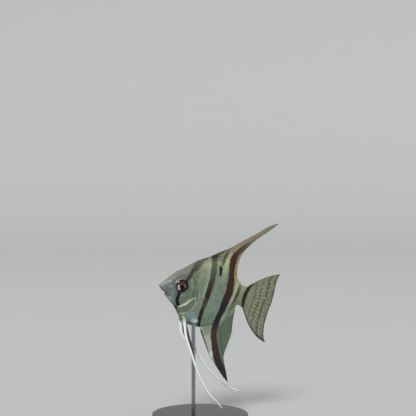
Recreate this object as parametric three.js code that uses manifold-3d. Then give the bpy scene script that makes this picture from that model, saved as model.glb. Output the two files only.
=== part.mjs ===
// A freshwater angelfish (Pterophyllum scalare) at life size, still, on a plain display stand.
// Millimetres, +Z up. The fish faces -X and the origin is the centre of the base's underside.
// The fish is modelled along its own axis: x runs from the snout tip to the tail, z is height
// above the snout tip and y is the side, its left side being -y.
import * as THREE from 'three';
import { mergeVertices } from 'three/addons/utils/BufferGeometryUtils.js';
import Module from 'manifold-3d';

const wasm = await Module();
wasm.setup();

// ---- Driving dimensions ----

const bodyLength = 60.5;            // snout tip to the root of the tail fin
const headUp = 17;                  // degrees that the axis rises towards the snout
const snout = { x: -28, z: 86.6 };  // the snout tip over the base
const seam = 0.3;                   // gap between neighbouring pieces
const finThickness = 0.7;

// Side profile of the body: [distance along the axis, height].
const backLine = [
  [0, 0.3], [2.3, 2.9], [4.8, 5.9], [8.9, 10.9], [12.8, 14.1], [20.1, 20.4], [26, 24.2],
  [31, 26.6], [37, 27.6], [43, 25.9], [47.5, 21.6], [51.5, 16.6], [56.1, 14.2], [bodyLength, 14.5],
];
const bellyLine = [
  [0, -0.3], [3.1, -2.4], [6, -4.8], [8.7, -7], [12.1, -9], [15.4, -11.7], [18.1, -14.6],
  [20.9, -17.1], [24.5, -18.4], [30, -18.7], [37, -17.9], [42, -15.6], [46.4, -10.4],
  [49.7, -5.2], [52.8, -0.7], [56, 1.2], [bodyLength, 0.2],
];
// Height of the body's widest line, and its half-width there.
const wideLine = [[0, 0], [6, 1], [13.5, 3], [25, 1], [37, 3], [50, 6.8], [bodyLength, 7.4]];
const halfWidth = [
  [0, 0.9], [1.2, 1.7], [3, 2.2], [6, 2.8], [9.5, 3.5], [13.5, 4.1], [19, 4.8], [26, 5.2],
  [33, 5.1], [41, 4.3], [50, 2.9], [56, 1.9], [bodyLength, 0.9],
];
// Roundness of a section: 0.5 is an ellipse, and a larger power draws the edge to a keel.
const backKeel = [[0, 0.5], [10, 0.6], [25, 0.9], [40, 0.9], [bodyLength, 0.6]];
const bellyKeel = [[0, 0.5], [10, 0.55], [25, 0.6], [40, 0.85], [bodyLength, 0.6]];
const bodyStations = 40;
const stationCrowding = 1.25;  // above 1 sets the stations closer towards the snout
const sectionPoints = 24;

// Each eyeball is flattened sideways: its depth is half its size from side to side.
const eye = { x: 14, z: 3.2, y: 2.9, radius: 4.3, depth: 2.2, meridians: 20, bands: 14 };

// Median fins, as outlines in the side view.
const dorsalFront = [
  [26, 23.4], [32.7, 28.7], [39.8, 33.8], [46.1, 39.4], [54.3, 46.5], [63.6, 55], [70, 58.8],
];
const dorsalRear = [
  [64.5, 52], [59.9, 47.4], [55.6, 42.3], [49.9, 34.2], [48.4, 27.3], [48.8, 22.2], [51, 15],
];
const analFront = [[34.3, -16.8], [36.5, -21.6], [43.7, -30.9], [48, -35.7]];
const analTip = [[53.7, -40.2], [59.5, -44.8], [64, -47.6]];
const analRear = [[60.6, -41.2], [57.4, -35.5], [56.1, -31], [57.2, -18], [55.7, -8.6], [55, 3]];
const tailTop = [[58.9, 14.7], [65.3, 20], [72.9, 24.7], [80, 27.7]];
const tailRear = [[79, 21.5], [79.4, 10.4], [78.6, 2], [78.6, -7], [79.8, -13], [82.2, -17.3]];
const tailBottom = [[74.8, -15], [67, -9.1], [60.2, -0.3]];

// Pelvic feelers: [along, height, distance from the middle plane]. The two aren't held alike.
const leftPelvic = [
  [22, -16.6, 2.5], [25.7, -25.7, 3], [31.6, -34.4, 3.6],
  [39.7, -45.8, 4.4], [49.4, -55.7, 5.2], [55.4, -59.4, 5.6], [61.4, -63.2, 6],
];
const rightPelvic = [
  [21.6, -16.8, 2.5], [25.4, -25, 3], [31.3, -29.8, 3.4],
  [39.5, -34.4, 4], [52.9, -43.8, 4.8], [66.1, -49.7, 5.6], [75.7, -51.3, 6.2],
];
const pelvicRay = { root: 1.1, tip: 0.35, thinRoot: 0.72, thinTip: 0.32, stations: 26, sides: 8 };
const pelvicWeb = { share: 0.42, width: 1.1 };  // a membrane behind the first part of the ray

const pectoral = { x: 26.2, z: -2.2, y: 4.9, spread: 24, droop: 14, thickness: 0.6 };
const pectoralUpper = [[-2, 2.2], [6, 3.6], [12, 3.2], [15.5, 0.6]];
const pectoralLower = [[12, -2.6], [6, -3.6], [-2, -2.2]];

// Lines in the side view that part the head's pieces.
const collar = [
  [27.5, 32], [26.6, 24], [25.6, 14], [26.2, 4], [26.4, -3], [24.6, -9], [21, -14], [18.4, -22],
];
const stalkCut = 52;
const mouthUpper = [[0, -5], [2.9, -2.35], [4.9, -2.75], [7.4, -3.3]];
const mouthLower = [[5.3, -4.1], [3, -7.4]];
const jawBack = [[7.4, -3.3], [9.4, -5.4], [11.4, -11]];
const jawBelow = [[9, -20], [-20, -20]];  // clear of the chin, to close the jaw's outline
const gillOutline = [
  [18.6, 7.8], [21.6, 8.6], [24, 5.2], [25.3, 0.4], [25, -4.8], [22.2, -9.8], [18.4, -13.4],
  [15.6, -11.2], [17.2, -6.6], [18.6, -2.2], [18.4, 3],
];
const gillThickness = 1;
const gillPoints = 36;

const base = { radius: 30, height: 5, chamfer: 0.8 };
const rod = { x: -4.6, radius: 1.2, foot: 2.5, top: 62.4 };
const baseSides = 48;
const rodSides = 16;

// ---- Looks ----

const finish = {
  skin: new THREE.MeshStandardMaterial({ color: 0x8fa08f, roughness: 0.4, metalness: 0.2 }),
  fin: new THREE.MeshStandardMaterial({ color: 0x6f7a62, roughness: 0.5 }),
  feeler: new THREE.MeshStandardMaterial({ color: 0xdfe4dd, roughness: 0.45 }),
  eye: new THREE.MeshStandardMaterial({ color: 0x2a1512, roughness: 0.15 }),
  steel: new THREE.MeshStandardMaterial({ color: 0xb9bcbe, roughness: 0.3, metalness: 1 }),
  base: new THREE.MeshStandardMaterial({ color: 0x24272a, roughness: 0.45 }),
};

// ---- Solids and meshes ----

function toSolid(geometry) {
  const bare = geometry.clone();
  bare.deleteAttribute('normal');
  bare.deleteAttribute('uv');
  const merged = mergeVertices(bare, 1e-5);
  const mesh = new wasm.Mesh({
    numProp: 3,
    vertProperties: new Float32Array(merged.attributes.position.array),
    triVerts: new Uint32Array(merged.index.array),
  });
  return new wasm.Manifold(mesh);
}

function toGeometry(solid) {
  const mesh = solid.getMesh();
  const geometry = new THREE.BufferGeometry();
  geometry.setAttribute('position', new THREE.BufferAttribute(mesh.vertProperties, 3));
  geometry.setIndex(new THREE.BufferAttribute(mesh.triVerts, 1));
  return geometry;
}

// A closed skin over rings of points, each ring counter-clockwise seen from the last ring.
function loft(rings) {
  const count = rings[0].length;
  const points = rings.flat();
  const index = [];
  for (let ring = 0; ring + 1 < rings.length; ring += 1) {
    for (let side = 0; side < count; side += 1) {
      const here = ring * count + side;
      const next = ring * count + ((side + 1) % count);
      index.push(here, next, next + count, here, next + count, here + count);
    }
  }
  for (const last of [false, true]) {
    const start = last ? (rings.length - 1) * count : 0;
    const middle = new THREE.Vector3();
    for (const point of points.slice(start, start + count)) middle.addScaledVector(point, 1 / count);
    points.push(middle);
    for (let side = 0; side < count; side += 1) {
      const rim = [start + side, start + ((side + 1) % count)];
      index.push(points.length - 1, last ? rim[0] : rim[1], last ? rim[1] : rim[0]);
    }
  }
  const geometry = new THREE.BufferGeometry().setFromPoints(points);
  geometry.setIndex(index);
  return geometry;
}

// A smooth function through [x, value] pairs.
function profile(pairs) {
  const curve = new THREE.CubicInterpolant(pairs.map((pair) => pair[0]), pairs.map((pair) => pair[1]), 1);
  return (x) => curve.evaluate(Math.min(x, bodyLength))[0];
}

const toPoint = ([x, z]) => new THREE.Vector2(x, z);

function smooth(points, perSpan = 4) {
  return new THREE.SplineCurve(points.map(toPoint)).getPoints(perSpan * (points.length - 1));
}

// A plate of a given thickness, standing in the middle plane.
function plate(outline, thickness) {
  const options = { depth: thickness, bevelEnabled: false };
  const geometry = new THREE.ExtrudeGeometry(new THREE.Shape(outline), options);
  return geometry.translate(0, 0, -thickness / 2).rotateX(Math.PI / 2);
}

// Sizes past the whole fish, for cuts that go right through it.
const through = 40;
const far = 120;
const cutter = (outline) => toSolid(plate(outline, through));

// A closed outline moved outwards by a distance.
function grown(outline, distance) {
  const turn = Math.sign(THREE.ShapeUtils.area(outline));
  return outline.map((point, i) => {
    const before = outline.at(i - 1);
    const after = outline[(i + 1) % outline.length];
    const along = after.clone().sub(before).normalize();
    return new THREE.Vector2(point.x + along.y * distance * turn, point.y - along.x * distance * turn);
  });
}

// ---- Body ----

const shape = {
  back: profile(backLine),
  belly: profile(bellyLine),
  wide: profile(wideLine),
  half: profile(halfWidth),
  backKeel: profile(backKeel),
  bellyKeel: profile(bellyKeel),
};

// The section of the body at a place on the axis, pushed out by an allowance.
function section(x, allowance) {
  const wide = shape.wide(x);
  const ring = [];
  for (let side = 0; side < sectionPoints; side += 1) {
    const angle = (side / sectionPoints) * 2 * Math.PI;
    const up = Math.sin(angle);
    const edge = up > 0 ? shape.back(x) + allowance : shape.belly(x) - allowance;
    const keel = up > 0 ? shape.backKeel(x) : shape.bellyKeel(x);
    const across = Math.cos(angle);
    const reach = (shape.half(x) + allowance) * Math.abs(across) ** (2 * keel) * Math.sign(across);
    ring.push(new THREE.Vector3(x, reach, wide + (edge - wide) * Math.abs(up)));
  }
  return ring;
}

function body(allowance) {
  const rings = [];
  for (let station = 0; station <= bodyStations; station += 1) {
    const share = station / bodyStations;
    const x = bodyLength * share ** stationCrowding;
    const ring = section(x, allowance);
    if (station === 0) ring.forEach((point) => { point.x -= allowance; });
    if (station === bodyStations) ring.forEach((point) => { point.x += allowance; });
    rings.push(ring);
  }
  return toSolid(loft(rings));
}

const flesh = body(0);
const clearance = body(seam);

const collarLine = smooth(collar);
const shifted = (line, distance) => line.map((point) => new THREE.Vector2(point.x + distance, point.y));
const frontEdge = shifted(collarLine, -seam / 2).reverse();
const rearEdge = shifted(collarLine, seam / 2);
const beforeCollar = cutter([toPoint([-far, -far]), ...frontEdge, toPoint([-far, far])]);
const behindCollar = cutter([toPoint([far, far]), ...rearEdge, toPoint([far, -far])]);
const slice = (from, to) => cutter([[from, -far], [to, -far], [to, far], [from, far]].map(toPoint));

const sides = { left: -1, right: 1 };

// ---- Eyes ----

function eyeball(side, allowance) {
  const geometry = new THREE.SphereGeometry(1, eye.meridians, eye.bands);
  geometry.rotateX(Math.PI / 2);
  geometry.scale(eye.radius + allowance, eye.depth + allowance, eye.radius + allowance);
  return geometry.translate(eye.x, side * eye.y, eye.z);
}

// ---- Head, jaw and gill covers ----

const gillLoop = new THREE.SplineCurve([...gillOutline, gillOutline[0]].map(toPoint));
const gillShape = gillLoop.getPoints(gillPoints).slice(1);

// All the space on one side of the middle plane.
function oneSide(side) {
  const box = new THREE.BoxGeometry(2 * far, far, 2 * far);
  return toSolid(box.translate(0, (side * (far + seam)) / 2, 0));
}

function gillCover(side) {
  return flesh.intersect(cutter(gillShape)).subtract(body(-gillThickness)).intersect(oneSide(side));
}

const gape = cutter([...smooth(mouthUpper), ...smooth([mouthUpper.at(-1), ...mouthLower]).slice(1)]);
const jawFront = [mouthLower.at(-1), mouthLower[0]];
const jawOutline = [...jawFront.map(toPoint), ...smooth(jawBack), ...jawBelow.map(toPoint)];

function head() {
  const gillRoom = cutter(grown(gillShape, seam)).subtract(body(-gillThickness - seam));
  let solid = flesh.intersect(beforeCollar).subtract(gillRoom).subtract(gape);
  solid = solid.subtract(cutter(grown(jawOutline, seam)));
  for (const side of Object.values(sides)) solid = solid.subtract(toSolid(eyeball(side, seam)));
  return solid;
}

const lowerJaw = () => flesh.intersect(cutter(jawOutline)).subtract(gape);

// ---- Fins ----

const dorsalOutline = [...smooth(dorsalFront), ...smooth([dorsalFront.at(-1), ...dorsalRear]).slice(1)];
const analOutline = [
  ...smooth(analFront),
  ...smooth([analFront.at(-1), ...analTip]).slice(1),
  ...smooth([analTip.at(-1), ...analRear]).slice(1),
];
const tailOutline = [
  ...smooth(tailTop),
  ...smooth([tailTop.at(-1), ...tailRear]).slice(1),
  ...smooth([tailRear.at(-1), ...tailBottom]).slice(1),
];
const medianFin = (outline) => toSolid(plate(outline, finThickness)).subtract(clearance);

// A feeler: a tapering ray, deeper near its root where a membrane runs behind it.
function pelvicFin(path, side) {
  const curve = new THREE.CatmullRomCurve3(path.map(([x, z, y]) => new THREE.Vector3(x, side * y, z)));
  const rings = [];
  for (let station = 0; station <= pelvicRay.stations; station += 1) {
    const share = station / pelvicRay.stations;
    const middle = curve.getPointAt(share);
    const along = curve.getTangentAt(share);
    const rearward = new THREE.Vector3(0, 1, 0).cross(along).normalize();
    const ray = THREE.MathUtils.lerp(pelvicRay.root, pelvicRay.tip, share);
    const web = pelvicWeb.width * Math.sin(Math.PI * Math.min(share / pelvicWeb.share, 1));
    const thin = THREE.MathUtils.lerp(pelvicRay.thinRoot, pelvicRay.thinTip, share);
    const ring = [];
    for (let corner = 0; corner < pelvicRay.sides; corner += 1) {
      const angle = (corner / pelvicRay.sides) * 2 * Math.PI;
      const behind = Math.cos(angle) > 0 ? ray + web : ray;
      const point = middle.clone().addScaledVector(rearward, -Math.cos(angle) * behind);
      ring.push(point.setY(point.y - Math.sin(angle) * thin));
    }
    rings.push(ring);
  }
  return toSolid(loft(rings)).subtract(clearance);
}

function pectoralFin(side) {
  const outline = [...smooth(pectoralUpper), ...smooth([pectoralUpper.at(-1), ...pectoralLower]).slice(1)];
  const geometry = plate(outline, pectoral.thickness);
  geometry.rotateY(THREE.MathUtils.degToRad(pectoral.droop));
  geometry.rotateZ(side * THREE.MathUtils.degToRad(pectoral.spread));
  geometry.translate(pectoral.x, side * pectoral.y, pectoral.z);
  return toSolid(geometry).subtract(clearance);
}

// ---- Stand ----

// An upright cylinder on the rod's axis.
function rodCylinder(radius, from, to) {
  const geometry = new THREE.CylinderGeometry(radius, radius, to - from, rodSides);
  return geometry.rotateX(Math.PI / 2).translate(rod.x, 0, (from + to) / 2);
}

function standBase() {
  const { radius, height, chamfer } = base;
  const line = [[0, 0], [radius, 0], [radius, height - chamfer], [radius - chamfer, height], [0, height]];
  const disc = new THREE.LatheGeometry(line.map(toPoint), baseSides).rotateX(Math.PI / 2);
  const socket = rodCylinder(rod.radius + seam, rod.foot - seam, height + seam);
  return toSolid(disc).subtract(toSolid(socket));
}

// ---- The whole ----

const fish = new THREE.Group();
fish.position.set(snout.x, 0, snout.z);
fish.rotation.y = THREE.MathUtils.degToRad(headUp);
fish.updateMatrix();

const model = new THREE.Group();
model.add(fish);

function add(parent, name, solidOrGeometry, material) {
  const geometry = solidOrGeometry.isBufferGeometry ? solidOrGeometry : toGeometry(solidOrGeometry);
  const mesh = new THREE.Mesh(geometry, material.clone());
  mesh.name = name;
  parent.add(mesh);
}

// The hole in the belly for the rod's top, in the fish's own frame.
const rodSocket = rodCylinder(rod.radius + seam, base.height, rod.top + seam);
rodSocket.applyMatrix4(fish.matrix.clone().invert());

add(fish, 'head', head(), finish.skin);
add(fish, 'lower_jaw', lowerJaw(), finish.skin);
const trunk = flesh.intersect(behindCollar).intersect(slice(0, stalkCut - seam / 2));
add(fish, 'trunk', trunk.subtract(toSolid(rodSocket)), finish.skin);
add(fish, 'tail_stalk', flesh.intersect(slice(stalkCut + seam / 2, far)), finish.skin);
add(fish, 'dorsal_fin', medianFin(dorsalOutline), finish.fin);
add(fish, 'anal_fin', medianFin(analOutline), finish.fin);
add(fish, 'tail_fin', medianFin(tailOutline), finish.fin);
const pelvicPaths = { left: leftPelvic, right: rightPelvic };
for (const [name, side] of Object.entries(sides)) {
  add(fish, `gill_cover_${name}`, gillCover(side), finish.skin);
  add(fish, `eye_${name}`, eyeball(side, 0), finish.eye);
  add(fish, `pelvic_fin_${name}`, pelvicFin(pelvicPaths[name], side), finish.feeler);
  add(fish, `pectoral_fin_${name}`, pectoralFin(side), finish.fin);
}
add(model, 'stand_base', standBase(), finish.base);
add(model, 'stand_rod', rodCylinder(rod.radius, rod.foot, rod.top), finish.steel);

export default model;
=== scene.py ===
import math

import bpy
import numpy as np
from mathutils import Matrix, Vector


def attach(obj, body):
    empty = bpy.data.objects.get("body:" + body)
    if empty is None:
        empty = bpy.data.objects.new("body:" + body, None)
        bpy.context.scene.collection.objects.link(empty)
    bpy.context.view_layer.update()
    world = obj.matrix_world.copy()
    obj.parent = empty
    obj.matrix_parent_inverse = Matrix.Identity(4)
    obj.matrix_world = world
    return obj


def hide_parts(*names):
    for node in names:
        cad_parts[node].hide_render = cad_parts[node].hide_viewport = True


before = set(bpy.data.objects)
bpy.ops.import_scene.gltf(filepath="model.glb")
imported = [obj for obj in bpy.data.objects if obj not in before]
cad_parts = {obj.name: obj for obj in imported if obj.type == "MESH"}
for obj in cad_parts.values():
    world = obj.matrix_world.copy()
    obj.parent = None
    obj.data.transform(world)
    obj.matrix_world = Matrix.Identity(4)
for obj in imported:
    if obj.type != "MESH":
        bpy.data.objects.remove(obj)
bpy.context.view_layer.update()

rng = np.random.default_rng(seed=7)
sides = (("Left", -1), ("Right", 1))

# The fish is shaped in its own frame, in millimetres: (along from the snout, side, up), left side
# negative. toWorld tips it head up and sets it over the base.
fishPose = {"snout": (-28.0, 0.0, 86.6), "headUp": 17.0}

bodyShape = {
    "length": 60.5,
    "back": [(0, 0.3), (2.3, 2.9), (4.8, 5.9), (8.9, 10.9), (12.8, 14.1), (20.1, 20.4), (26, 24.2),
             (31, 26.6), (37, 27.6), (43, 25.9), (47.5, 21.6), (51.5, 16.6), (56.1, 14.2), (60.5, 14.5)],
    "belly": [(0, -0.3), (3.1, -2.4), (6, -4.8), (8.7, -7), (12.1, -9), (15.4, -11.7), (18.1, -14.6),
              (20.9, -17.1), (24.5, -18.4), (30, -18.7), (37, -17.9), (42, -15.6), (46.4, -10.4),
              (49.7, -5.2), (52.8, -0.7), (56, 1.2), (60.5, 0.2)],
    "wide": [(0, 0), (6, 1), (13.5, 3), (25, 1), (37, 3), (50, 6.8), (60.5, 7.4)],
    "half": [(0, 0.9), (1.2, 1.7), (3, 2.2), (6, 2.8), (9.5, 3.5), (13.5, 4.1), (19, 4.8), (26, 5.2),
             (33, 5.1), (41, 4.3), (50, 2.9), (56, 1.9), (60.5, 0.9)],
    "backKeel": [(0, 0.5), (10, 0.6), (25, 0.9), (40, 0.9), (60.5, 0.6)],
    "bellyKeel": [(0, 0.5), (10, 0.55), (25, 0.6), (40, 0.85), (60.5, 0.6)],
}


def throughPairs(pairs):
    # a smooth function through (x, value) pairs
    xs, values = (np.array(column, dtype=float) for column in zip(*pairs))
    last = len(xs) - 2

    def evaluate(x):
        x = np.clip(np.asarray(x, dtype=float), xs[0], xs[-1])
        i = np.clip(np.searchsorted(xs, x, side="right") - 1, 0, last)
        x0, x1, v0, v1 = xs[i], xs[i + 1], values[i], values[i + 1]
        xBefore = np.where(i == 0, 2 * x0 - x1, xs[np.maximum(i - 1, 0)])
        vBefore = np.where(i == 0, v1, values[np.maximum(i - 1, 0)])
        xAfter = np.where(i == last, 2 * x1 - x0, xs[np.minimum(i + 2, last + 1)])
        vAfter = np.where(i == last, v0, values[np.minimum(i + 2, last + 1)])
        weightBefore = (x1 - x0) / 2 / (x0 - xBefore)
        weightAfter = (x1 - x0) / 2 / (xAfter - x1)
        p = (x - x0) / (x1 - x0)
        return (vBefore * weightBefore * (-p**3 + 2 * p**2 - p)
                + v0 * ((1 + weightBefore) * p**3 - (1.5 + 2 * weightBefore) * p**2
                        + (weightBefore - 0.5) * p + 1)
                + v1 * (-(1 + weightAfter) * p**3 + (1.5 + weightAfter) * p**2 + 0.5 * p)
                + vAfter * weightAfter * (p**3 - p**2))

    return evaluate


def alongPoints(points, perSpan=8):
    # a smooth line through points, as an array of points
    points = np.array(points, dtype=float)
    padded = np.concatenate([points[:1], points, points[-1:]])
    out = []
    for i in range(len(points) - 1):
        p0, p1, p2, p3 = padded[i:i + 4]
        t = np.linspace(0, 1, perSpan, endpoint=False)[:, None]
        v0, v1 = (p2 - p0) / 2, (p3 - p1) / 2
        out.append((2 * p1 - 2 * p2 + v0 + v1) * t**3 + (3 * p2 - 3 * p1 - 2 * v0 - v1) * t**2
                   + v0 * t + p1)
    out.append(points[-1:])
    return np.concatenate(out)


def onLine(line, shares):
    # points on a line at shares of its length
    steps = np.linalg.norm(np.diff(line, axis=0), axis=1)
    reached = np.concatenate([[0], np.cumsum(steps)]) / steps.sum()
    return np.stack([np.interp(shares, reached, line[:, k]) for k in range(line.shape[1])], axis=-1)


def ease(low, high, x):
    t = np.clip((np.asarray(x, dtype=float) - low) / (high - low), 0, 1)
    return t * t * (3 - 2 * t)


def hump(distance, width):
    return np.exp(-(distance / width)**2)


def turned(directions):
    # directions in the fish's frame, turned into the world's
    turn = math.radians(fishPose["headUp"])
    along, side, up = directions[..., 0], directions[..., 1], directions[..., 2]
    return np.stack([along * math.cos(turn) + up * math.sin(turn), side,
                     up * math.cos(turn) - along * math.sin(turn)], axis=-1)


def toWorld(points):
    return (turned(np.asarray(points, dtype=float)) + fishPose["snout"]) / 1000


def anglesRound(count):
    return np.arange(count) * 2 * math.pi / count


shape = {key: throughPairs(value) for key, value in bodyShape.items() if key != "length"}


def bodyEdge(along, above):
    # the line of the back or the belly, and how the side turns in towards it
    edge = np.where(above, shape["back"](along), shape["belly"](along))
    return edge, np.where(above, shape["backKeel"](along), shape["bellyKeel"](along))


def flank(along, up):
    # half-width of the body at a place in the side view, and how near that place is to its edge
    wide = shape["wide"](along)
    edge, keel = bodyEdge(along, up > wide)
    share = np.clip((up - wide) / (edge - wide), 0, 1)
    return shape["half"](along) * (1 - share**2)**keel, share


def fromLine(along, up, line):
    # distance to a line in the side view, and which side of it a place is on
    best = np.full(along.shape, np.inf)
    hand = np.zeros(along.shape)
    for start, end in zip(line[:-1], line[1:]):
        step = end - start
        dx, dz = along - start[0], up - start[1]
        t = np.clip((dx * step[0] + dz * step[1]) / (step @ step), 0, 1)
        gap = np.hypot(dx - t * step[0], dz - t * step[1])
        nearer = gap < best
        best = np.where(nearer, gap, best)
        hand = np.where(nearer, np.sign(step[0] * dz - step[1] * dx), hand)
    return best, hand


def insideOf(along, up, outline):
    # whether places lie inside a closed outline
    inside = np.zeros(along.shape, dtype=bool)
    for (x0, z0), (x1, z1) in zip(outline, np.roll(outline, -1, axis=0)):
        if z0 == z1:
            continue
        crosses = (z0 > up) != (z1 > up)
        inside ^= crosses & (along < (x1 - x0) * (up - z0) / (z1 - z0) + x0)
    return inside


def unit(vectors):
    return vectors / (np.linalg.norm(vectors, axis=-1, keepdims=True) + 1e-12)


def addMesh(name, vertices, faces, world=True):
    mesh = bpy.data.meshes.new(name)
    mesh.from_pydata([tuple(v) for v in (toWorld(vertices) if world else np.asarray(vertices))], [],
                     [tuple(int(i) for i in face) for face in faces])
    mesh.update()
    mesh.polygons.foreach_set("use_smooth", [True] * len(mesh.polygons))
    piece = bpy.data.objects.new(name, mesh)
    bpy.context.scene.collection.objects.link(piece)
    return piece


def setValues(piece, name, kind, values):
    # a named value for each point
    attribute = piece.data.attributes.new(name, kind, "POINT")
    field = "vector" if kind == "FLOAT_VECTOR" else "value"
    attribute.data.foreach_set(field, np.asarray(values, dtype=np.float32).ravel())


def setUv(piece, name, uv):
    # uv is given for each point
    layer = piece.data.uv_layers.new(name=name)
    corners = np.zeros(len(piece.data.loops), dtype=np.int32)
    piece.data.loops.foreach_get("vertex_index", corners)
    layer.data.foreach_set("uv", np.asarray(uv, dtype=np.float32)[corners].ravel())


def gridFaces(rows, columns, closed=False, flip=False):
    faces = []
    for row in range(rows - 1):
        for column in range(columns if closed else columns - 1):
            after = (column + 1) % columns
            quad = [row * columns + column, row * columns + after,
                    (row + 1) * columns + after, (row + 1) * columns + column]
            faces.append(quad[::-1] if flip else quad)
    return faces


def capFaces(rows, columns, flip=False):
    # fans that close the two ends of a closed grid; their middles are the two points after the grid
    faces = []
    for middle, row in ((rows * columns, 0), (rows * columns + 1, rows - 1)):
        for column in range(columns):
            pair = [row * columns + column, row * columns + (column + 1) % columns]
            faces.append([middle] + (pair[::-1] if (row == 0) != flip else pair))
    return faces


def addTube(name, points, ends, world=True, flip=False):
    # a closed grid of points, row on row, with a point in the middle of each end
    rows, columns = points.shape[:2]
    faces = gridFaces(rows, columns, closed=True, flip=flip) + capFaces(rows, columns, flip=flip)
    return addMesh(name, np.concatenate([points.reshape(-1, 3), ends]), faces, world)


def spun(profile, around, centre=0.0):
    # a profile of (radius, height) turned round an upright axis
    angles = anglesRound(around)
    return np.array([[(centre + r * math.cos(t), r * math.sin(t), z) for t in angles]
                     for r, z in profile])


def finishPiece(piece, material, nodes=()):
    piece.data.materials.clear()
    piece.data.materials.append(material)
    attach(piece, "root")
    if nodes:
        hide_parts(*nodes)
    return piece


def tint(red, green, blue):
    # screen values from 0 to 255, as a shader takes them
    shares = [value / 255 for value in (red, green, blue)]
    return [s / 12.92 if s < 0.04045 else ((s + 0.055) / 1.055)**2.4 for s in shares] + [1.0]


cameraView = {
    "place": (-0.33713, -0.73462, 0.17553),
    "azimuth": 25.0,   # degrees from +Y towards +X
    "down": 3.0,
    "lens": 113.12,
    "sensor": 36.0,
    "nearest": 0.01,
}


def addCamera():
    azimuth, down = (math.radians(cameraView[key]) for key in ("azimuth", "down"))
    data = bpy.data.cameras.new("camera")
    data.lens = cameraView["lens"]
    data.sensor_width = cameraView["sensor"]
    data.clip_start = cameraView["nearest"]
    camera = bpy.data.objects.new("camera", data)
    camera.location = cameraView["place"]
    camera.rotation_euler = (math.pi / 2 - down, 0, -azimuth)
    bpy.context.scene.collection.objects.link(camera)
    bpy.context.scene.camera = camera


studio = {
    "floorRadius": 2.4,
    "sweep": 1.1,        # radius of the curve from floor to wall
    "wallTop": 1.9,
    "around": 96,
    "rings": 10,
    "sweepSteps": 20,
    "floorTint": tint(166, 168, 168),
    "floorRoughness": 0.9,
    "skyTint": tint(236, 238, 238),
    "skyStrength": 0.72,
    # soft suns: where each shines from, strength, spread in degrees, colour
    "suns": [
        ((-0.60, -0.75, 1.05), 2.7, 22.0, (1.0, 0.985, 0.96)),
        ((0.95, -0.35, 0.60), 0.5, 40.0, (0.95, 0.98, 1.0)),
        ((0.35, 0.90, 0.90), 1.1, 40.0, (1.0, 1.0, 1.0)),
    ],
}


def addStudio():
    # a floor that sweeps up into a wall all round
    flat, sweep = studio["floorRadius"] - studio["sweep"], studio["sweep"]
    profile = [(r, 0.0) for r in np.linspace(0, flat, studio["rings"])[1:]]
    for angle in np.linspace(0, math.pi / 2, studio["sweepSteps"])[1:]:
        profile.append((flat + sweep * math.sin(angle), sweep - sweep * math.cos(angle)))
    profile.append((studio["floorRadius"], studio["wallTop"]))
    around = studio["around"]
    vertices = np.concatenate([spun(profile, around).reshape(-1, 3), [(0, 0, 0)]])
    faces = gridFaces(len(profile), around, closed=True, flip=True)
    faces += [[len(vertices) - 1, i, (i + 1) % around] for i in range(around)]
    floor = addMesh("floor", vertices, faces, world=False)
    material = bpy.data.materials.new("studioFloor")
    material.use_nodes = True
    shader = material.node_tree.nodes["Principled BSDF"]
    shader.inputs["Base Color"].default_value = studio["floorTint"]
    shader.inputs["Roughness"].default_value = studio["floorRoughness"]
    floor.data.materials.append(material)
    for i, (place, strength, spread, colour) in enumerate(studio["suns"]):
        data = bpy.data.lights.new(f"sun{i}", "SUN")
        data.angle = math.radians(spread)
        data.energy = strength
        data.color = colour
        light = bpy.data.objects.new(f"sun{i}", data)
        light.location = place
        light.rotation_euler = Vector(place).to_track_quat("Z", "Y").to_euler()
        bpy.context.scene.collection.objects.link(light)
    world = bpy.data.worlds.new("world")
    bpy.context.scene.world = world
    world.use_nodes = True
    background = world.node_tree.nodes["Background"]
    background.inputs["Color"].default_value = studio["skyTint"]
    background.inputs["Strength"].default_value = studio["skyStrength"]
    bpy.context.scene.view_settings.view_transform = "Standard"


addCamera()
addStudio()
print("camera and studio")


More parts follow.
